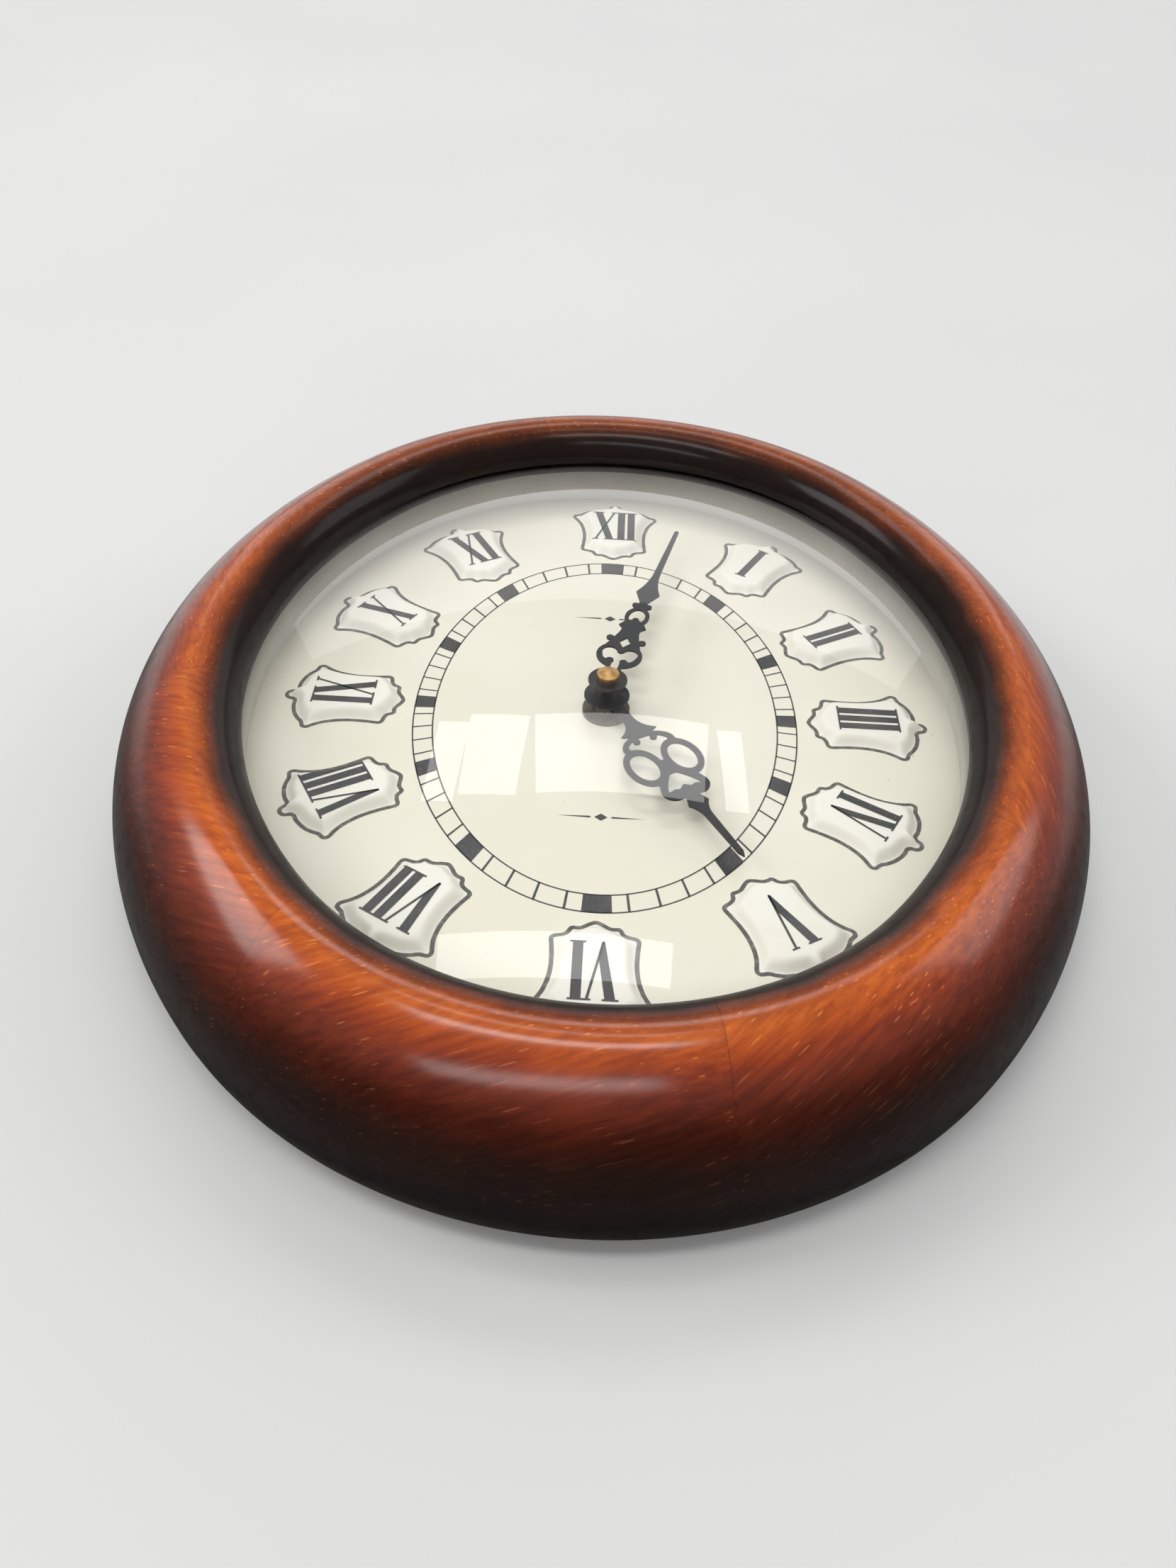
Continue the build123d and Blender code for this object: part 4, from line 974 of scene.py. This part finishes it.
class CLOCK_OT_minute_track(bpy.types.Operator):
    """Oval minute track with a solid block at each five minutes"""
    bl_idname = "clock.minute_track"
    bl_label = "Minute track"

    def execute(self, context):
        dial = context.scene.clock_dial
        tree, flow, given = new_tree("oval_minute_track", {
            "Line": "NodeSocketFloat", "Block": "NodeSocketFloat", "Edge": "NodeSocketFloat",
            "Inner": "NodeSocketVector", "Outer": "NodeSocketVector", "Level": "NodeSocketFloat"})

        def slab(length, width, columns):
            return flow.get("GeometryNodeMeshGrid", 0, None, {
                "Size X": length, "Size Y": width, "Vertices X": columns, "Vertices Y": 2})

        def copies(shape, where):
            return flow.get("GeometryNodeInstanceOnPoints", 0, None, {
                "Points": row, "Selection": where, "Instance": shape})

        # laid out flat, one minute to a unit, then bent round the dial
        minutes = 60
        row = flow.get("GeometryNodeMeshLine", 0, {"mode": "OFFSET"},
                       {"Count": minutes, "Offset": (1.0, 0.0, 0.0)})
        fifth = flow.math("MODULO", flow.get("GeometryNodeInputIndex"), 5.0) < 0.5
        lines = copies(slab(given["Line"], 1.0, 2), 1 - fifth)
        blocks = copies(slab(given["Block"], 1.0, 9), fifth)
        hoop = slab(float(minutes), given["Edge"], 4 * minutes + 1)
        hoops = [flow.get("GeometryNodeTransform", 0, None,
                          {"Geometry": hoop, "Translation": (minutes / 2, side, 0.0)})
                 for side in (-0.5, 0.5)]
        flat = flow.add("GeometryNodeJoinGeometry")
        for part in [lines, blocks] + hoops:
            flow.tree.links.new(part.socket, flat.inputs[0])
        laid = flow.get("GeometryNodeRealizeInstances", 0, None, {0: Val(flow, flat.outputs[0])})

        minute, level, _ = flow.parts(flow.get("GeometryNodeInputPosition"))
        turn = minute * (2 * math.pi / minutes)
        sine, cosine = flow.math("SINE", turn), flow.math("COSINE", turn)

        def reach(name):
            half_width, _, half_height = flow.parts(given[name])
            x, z = sine / half_width, cosine / half_height
            return 1 / flow.math("SQRT", x * x + z * z)

        inner = reach("Inner")
        radius = inner + (level + 0.5) * (reach("Outer") - inner)
        bent = flow.get("GeometryNodeSetPosition", 0, None, {
            "Geometry": laid, "Position": flow.vector(radius * sine, given["Level"], radius * cosine)})
        end_tree(flow, bent, ink_finish("track_ink", tuple(dial.ink), 0.7))

        # line, block and edge are shares of a minute and of the track's width
        piece = new_piece("minute_track", [], [], closed=False)
        run_tree(piece, tree, {
            "Line": 0.085, "Block": 0.94, "Edge": 0.075, "Level": dial_y - INK_LIFT,
            "Inner": (dial.track_inner[0], 0.0, dial.track_inner[1]),
            "Outer": (dial.track_outer[0], 0.0, dial.track_outer[1])})
        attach(piece, "frame")
        return {"FINISHED"}


# Plain finishes: light and dark tone, cloud size in mm, roughness, metallic, relief in mm, what wears them
MOTTLED = {
    "blued_steel_arbor": ((52, 51, 52), (38, 37, 38), 1.5, 0.4, 0.7, 0.02, ("minute_arbor",)),
    "black_pipe_nylon": ((26, 26, 26), (38, 37, 36), 1.5, 0.5, 0.0, 0.03, ("hour_wheel",)),
    "moulded_black_case": ((30, 30, 31), (22, 22, 23), 3.0, 0.5, 0.0, 0.12,
                           ("movement_case", "movement_cover")),
    "black_washer_rubber": ((24, 24, 24), (34, 33, 32), 1.5, 0.85, 0.0, 0.1, ("rubber_washer",)),
    "brown_board": ((142, 104, 56), (118, 84, 44), 4.0, 0.5, 0.0, 0.04, ("circuit_board",)),
    "resin_drop": ((18, 18, 19), (30, 30, 31), 2.0, 0.18, 0.0, 0.05, ("timing_chip",)),
    "natural_nylon": ((226, 222, 208), (210, 204, 188), 3.0, 0.45, 0.0, 0.03,
                      ("coil_bobbin", "train_plate")),
    "bonded_magnet": ((66, 65, 66), (50, 50, 51), 1.2, 0.5, 0.4, 0.05, ("rotor_magnet",)),
    "wheel_acetal": ((222, 216, 198), (206, 198, 176), 2.0, 0.4, 0.0, 0.02,
                     ("rotor_pinion", "fifth_wheel", "fourth_wheel", "third_wheel", "centre_wheel",
                      "minute_wheel")),
    "grey_knob": ((176, 175, 170), (158, 156, 150), 2.0, 0.5, 0.0, 0.06, ("setting_knob",)),
}

# Brushed metals: light and dark tone, axis of the lines, roughness, what wears them
BRUSHED = {
    "nickel_strip": ((196, 192, 184), (152, 146, 134), 2, 0.3,
                     ("positive_contact", "negative_contact", "clutch_spring")),
    "tinned_can": ((206, 205, 202), (166, 164, 158), 0, 0.25, ("quartz_crystal",)),
    "soft_steel": ((158, 157, 154), (124, 120, 114), 0, 0.4, ("stator_plate", "coil_core")),
    "zinc_plate": ((184, 187, 190), (140, 142, 144), 0, 0.34, ("dial_clips", "hanger_plate")),
    "yellow_zinc": ((198, 182, 132), (150, 132, 90), 2, 0.32,
                    ("clip_screws", "hanger_screws", "stator_screws")),
}


def dress_mottled(*names):
    """Makes these plain finishes and puts them on."""
    for name in names:
        light, dark, patch, rough, metallic, relief, nodes = MOTTLED[name]
        dress(mottled_finish(name, tone(*light), tone(*dark), patch, rough, metallic, relief), *nodes)


def dress_brushed(*names):
    """Makes these brushed metals and puts them on."""
    for name in names:
        light, dark, along, rough, nodes = BRUSHED[name]
        dress(brushed_finish(name, tone(*light), tone(*dark), along, rough), *nodes)


# Hands and what they sit on
def nut_finish():
    """Smoky plastic that lets a little light through."""
    material, flow = new_finish("smoky_nut_plastic")
    clouds = flow.noise(flow.place(), 0.3, 3.0)
    colour = flow.mix(flow.smooth(clouds, 0.35, 0.7), tone(114, 104, 80), tone(74, 66, 48))
    flow.show(flow.skin(base_color=colour, roughness=0.22 + 0.12 * clouds, transmission_weight=0.25,
                        ior=1.49, normal=flow.bump(clouds, 0.2, 0.1 * MM)))
    return material


def hand_finish(hands):
    """Satin black paint with rubbed patches and dust specks."""
    material, flow = new_finish("satin_black_hands")
    place = flow.place()
    grain = flow.noise(place, 2.4, 4.0, 0.7)
    rubs = flow.smooth(flow.noise(place, 0.5, 5.0, 0.7), 0.56, 0.74)
    colour = flow.mix(rubs * 0.4, tuple(hands.black), tone(84, 82, 80))
    specks = flow.specks(place, 0.7, 0.05, 0.1, 0.0)
    colour = flow.mix(specks * 0.5, colour, tone(150, 146, 138))
    flow.show(flow.skin(base_color=colour, roughness=0.42 + 0.2 * (grain - 0.5), specular_ior_level=0.35,
                        normal=flow.bump(grain, 0.25, 0.03 * MM)))
    return material


class CLOCK_OT_hands(bpy.types.Operator):
    """Finishes of the hands, their hubs, the brass cap and the nut"""
    bl_idname = "clock.hands"
    bl_label = "Hands"

    def execute(self, context):
        hands = context.scene.clock_hands
        dress(hand_finish(hands), "minute_hand", "hour_hand", "minute_hand_hub", "hour_hand_hub")
        dress(mottled_finish("turned_brass", tuple(hands.brass), tone(170, 126, 72), 2.2, 0.36, 1.0, 0.02),
              "cap_nut")
        dress_mottled("blued_steel_arbor", "black_pipe_nylon")
        dress(nut_finish(), "fixing_nut")
        return {"FINISHED"}


# Movement, clips and hanger at the back
def cell_finish():
    """Plain battery jacket: a dark sleeve with one light band, bare metal at both ends."""
    material, flow = new_finish("battery_sleeve")
    x, out, z = flow.point()
    band_start, band_end, jacket_end = 9.0, 23.4, 24.0
    scuff = flow.noise(flow.vector(x * 0.3, out * 2.0, z * 2.0), 1.0, 4.0)
    sleeve = flow.mix(flow.smooth(scuff, 0.55, 0.75) * 0.5, tone(34, 40, 48), tone(78, 84, 90))
    band = (x > band_start) * (x < band_end)
    colour = flow.mix(band, sleeve, tone(178, 180, 178))
    ends = abs(x) > jacket_end
    colour = flow.mix(ends, colour, tone(190, 188, 182))
    normal = flow.bump(flow.noise(flow.vector(x, out, z), 1.5, 2.0), 0.15, 0.03 * MM)
    flow.show(flow.skin(base_color=colour, roughness=0.3 + 0.25 * (scuff - 0.5),
                        metallic=0.2 + 0.8 * ends, normal=normal))
    return material


def winding_finish():
    """Fine enamelled wire laid turn by turn, with painted shade in the grooves and painted highlight on
    the crests.
    """
    material, flow = new_finish("enamelled_copper_wire")
    x, out, z = flow.point()
    half_pitch = 0.11
    along = x + 0.05 * flow.noise(flow.vector(x, out, z), 0.8, 2.0)
    turns = flow.math("PINGPONG", along, half_pitch) / half_pitch
    # painted shade and highlight: dark in the groove between turns, bright on each crest
    colour = flow.mix(turns, tone(112, 48, 22), tone(196, 108, 56))
    flow.show(flow.skin(base_color=colour, roughness=0.3 + 0.1 * turns, metallic=0.9,
                        normal=flow.bump(turns, 0.6, 0.08 * MM)))
    return material


class CLOCK_OT_movement(bpy.types.Operator):
    """Finishes of the battery movement"""
    bl_idname = "clock.movement"
    bl_label = "Movement"

    def execute(self, context):
        dress_mottled("moulded_black_case", "black_washer_rubber")
        dress(cell_finish(), "battery")
        dress_brushed("nickel_strip")
        dress_mottled("brown_board", "resin_drop")
        dress_brushed("tinned_can", "soft_steel")
        dress_mottled("natural_nylon")
        dress(winding_finish(), "coil_winding")
        dress_mottled("bonded_magnet", "wheel_acetal", "grey_knob")
        return {"FINISHED"}


class CLOCK_OT_hardware(bpy.types.Operator):
    """Finishes of the dial clips, the hanger plate and all screws"""
    bl_idname = "clock.hardware"
    bl_label = "Clips and hanger"

    def execute(self, context):
        dress_brushed("zinc_plate", "yellow_zinc")
        return {"FINISHED"}


# Camera, wall and light
VIEW_PLACE = Vector((-0.002614, -0.245352, -0.273359))  # where the camera stands
VIEW_TARGET = Vector((-0.003727, -0.022, -0.029915))  # what it looks at
VIEW_ROLL = math.radians(3.3857)  # its turn about the line of sight
SENSOR = 36.0  # width of the camera's sensor, in mm
WALL_REACH = 8.0  # from the clock's middle to the wall's edge
LAMP_TARGET = Vector((0, -0.03, 0))  # the middle of the clock's front
WINDOW_Y = -2.0  # plane of the window, in front of the clock
# window softboxes: name, place across and up, width and height
WINDOW_BOXES = (("side", -0.77, 1.44, 0.16, 0.46), ("left", -0.525, 1.44, 0.29, 0.46),
                ("middle", 0.098, 1.435, 0.836, 0.45), ("right", 0.66, 1.44, 0.12, 0.46),
                ("roof", -0.15, 0.38, 1.0, 0.18))


def wall_finish(stage):
    """Pale wall seen from the front; from behind it lets everything through."""
    material, flow = new_finish("pale_wall")
    clouds = flow.noise(flow.place(), 0.004, 3.0)
    colour = flow.mix(flow.smooth(clouds, 0.3, 0.7) * 0.35, tuple(stage.wall), tone(210, 209, 208))
    paint = flow.skin(base_color=colour, roughness=0.75)
    behind = flow.get("ShaderNodeNewGeometry", "Backfacing")
    clear = flow.get("ShaderNodeBsdfTransparent")
    flow.show(flow.blend(behind, paint, clear))
    return material


def soft_box(name, place, width, height, glow):
    """A softbox that faces the clock; a glow of 1 is as bright as a white sheet in full light."""
    lamp = bpy.data.lights.new(name, "AREA")
    lamp.shape = "RECTANGLE"
    lamp.size, lamp.size_y = width, height
    lamp.energy = glow * math.pi * width * height
    box = bpy.data.objects.new(name, lamp)
    box.location = place
    box.rotation_euler = (LAMP_TARGET - Vector(place)).to_track_quat("-Z", "Y").to_euler()
    bpy.context.scene.collection.objects.link(box)


class CLOCK_OT_stage(bpy.types.Operator):
    """Camera at the photograph's angle, pale wall behind the clock and soft window light"""
    bl_idname = "clock.stage"
    bl_label = "Camera, wall and light"

    def execute(self, context):
        scene, ring, stage = context.scene, context.scene.clock_ring, context.scene.clock_stage
        view = bpy.data.cameras.new("photo_view")
        view.lens, view.sensor_width, view.sensor_fit = stage.lens, SENSOR, "AUTO"
        view.clip_start, view.clip_end = 0.01, 50.0
        camera = bpy.data.objects.new("photo_view", view)
        camera.location = VIEW_PLACE
        camera.rotation_mode = "QUATERNION"
        aim = (VIEW_TARGET - VIEW_PLACE).to_track_quat("-Z", "Y")
        camera.rotation_quaternion = aim @ Quaternion((0, 0, 1), VIEW_ROLL)
        scene.collection.objects.link(camera)
        scene.camera = camera

        # the wall starts just inside the flat back's outer edge
        edge = back_edge_of(ring) - 0.3 * MM
        bearings = oval_bearings(ring, 180)
        points = [upright(*oval_point(ring, bearing, edge), -WALL_FREE) for bearing in bearings]
        points += [upright(WALL_REACH * math.cos(bearing), WALL_REACH * math.sin(bearing), -WALL_FREE)
                   for bearing in bearings]
        faces = strip_faces(2, len(bearings), False, True)
        wall = new_piece("wall", points, faces, wall_finish(stage), closed=False)

        for name, x, z, width, height in WINDOW_BOXES:
            soft_box(f"window_{name}", (x, WINDOW_Y, z), width, height, stage.window)
        far_share, rear_share = 0.24, 0.6
        soft_box("far_glow", (0, -0.85, 2.4), 3.0, 1.1, far_share * stage.window)
        soft_box("key", (-2.2, -1.55, 0.25), 0.9, 1.3, stage.key)
        soft_box("fill", (2.3, -1.5, 0.7), 1.3, 1.3, stage.fill)
        soft_box("front_strip", (-0.2, -2.0, -0.42), 1.4, 0.29, stage.strip)
        soft_box("rear_strip", (-0.3, -1.5, -1.45), 1.6, 0.26, rear_share * stage.strip)
        soft_box("back", (0.5, 1.6, 0.9), 1.2, 1.2, stage.back)
        sky = bpy.data.worlds.new("soft_surround")
        sky.use_nodes = True
        surround = sky.node_tree.nodes["Background"].inputs
        surround["Color"].default_value = tone(236, 238, 242)
        surround["Strength"].default_value = stage.ambient
        scene.world = sky
        scene.view_settings.view_transform = "Standard"
        return {"FINISHED"}


class CLOCK_PT_panel(bpy.types.Panel):
    """Settings and pieces of the wall clock"""
    bl_idname = "CLOCK_PT_panel"
    bl_label = "Wall clock"
    bl_space_type = "VIEW_3D"
    bl_region_type = "UI"
    bl_category = "Wall clock"

    def draw(self, context):
        for settings in SETTINGS:
            box = self.layout.box()
            box.label(text=settings.replace("clock_", "").title())
            group = getattr(context.scene, settings)
            for name in group.bl_rna.properties.keys():
                if name not in ("rna_type", "name"):
                    box.prop(group, name)
        for operator in OPERATORS:
            self.layout.operator(operator.bl_idname)


SETTINGS = {"clock_ring": RingSettings, "clock_glass": GlassSettings, "clock_dial": DialSettings,
            "clock_hands": HandSettings, "clock_stage": StageSettings}
OPERATORS = (CLOCK_OT_stage, CLOCK_OT_wood_ring, CLOCK_OT_glass, CLOCK_OT_dial, CLOCK_OT_numerals,
             CLOCK_OT_minute_track, CLOCK_OT_hands, CLOCK_OT_movement, CLOCK_OT_hardware)


def register():
    for settings in SETTINGS.values():
        bpy.utils.register_class(settings)
    for operator in OPERATORS:
        bpy.utils.register_class(operator)
    bpy.utils.register_class(CLOCK_PT_panel)
    for name, settings in SETTINGS.items():
        setattr(bpy.types.Scene, name, PointerProperty(type=settings))


def unregister():
    for name in SETTINGS:
        delattr(bpy.types.Scene, name)
    bpy.utils.unregister_class(CLOCK_PT_panel)
    for operator in reversed(OPERATORS):
        bpy.utils.unregister_class(operator)
    for settings in SETTINGS.values():
        bpy.utils.unregister_class(settings)


def main():
    register()
    bpy.ops.clock.stage()
    bpy.ops.clock.wood_ring()
    bpy.ops.clock.glass()
    bpy.ops.clock.dial()
    bpy.ops.clock.numerals()
    bpy.ops.clock.minute_track()
    bpy.ops.clock.hands()
    bpy.ops.clock.movement()
    bpy.ops.clock.hardware()


if __name__ == "__main__":
    main()
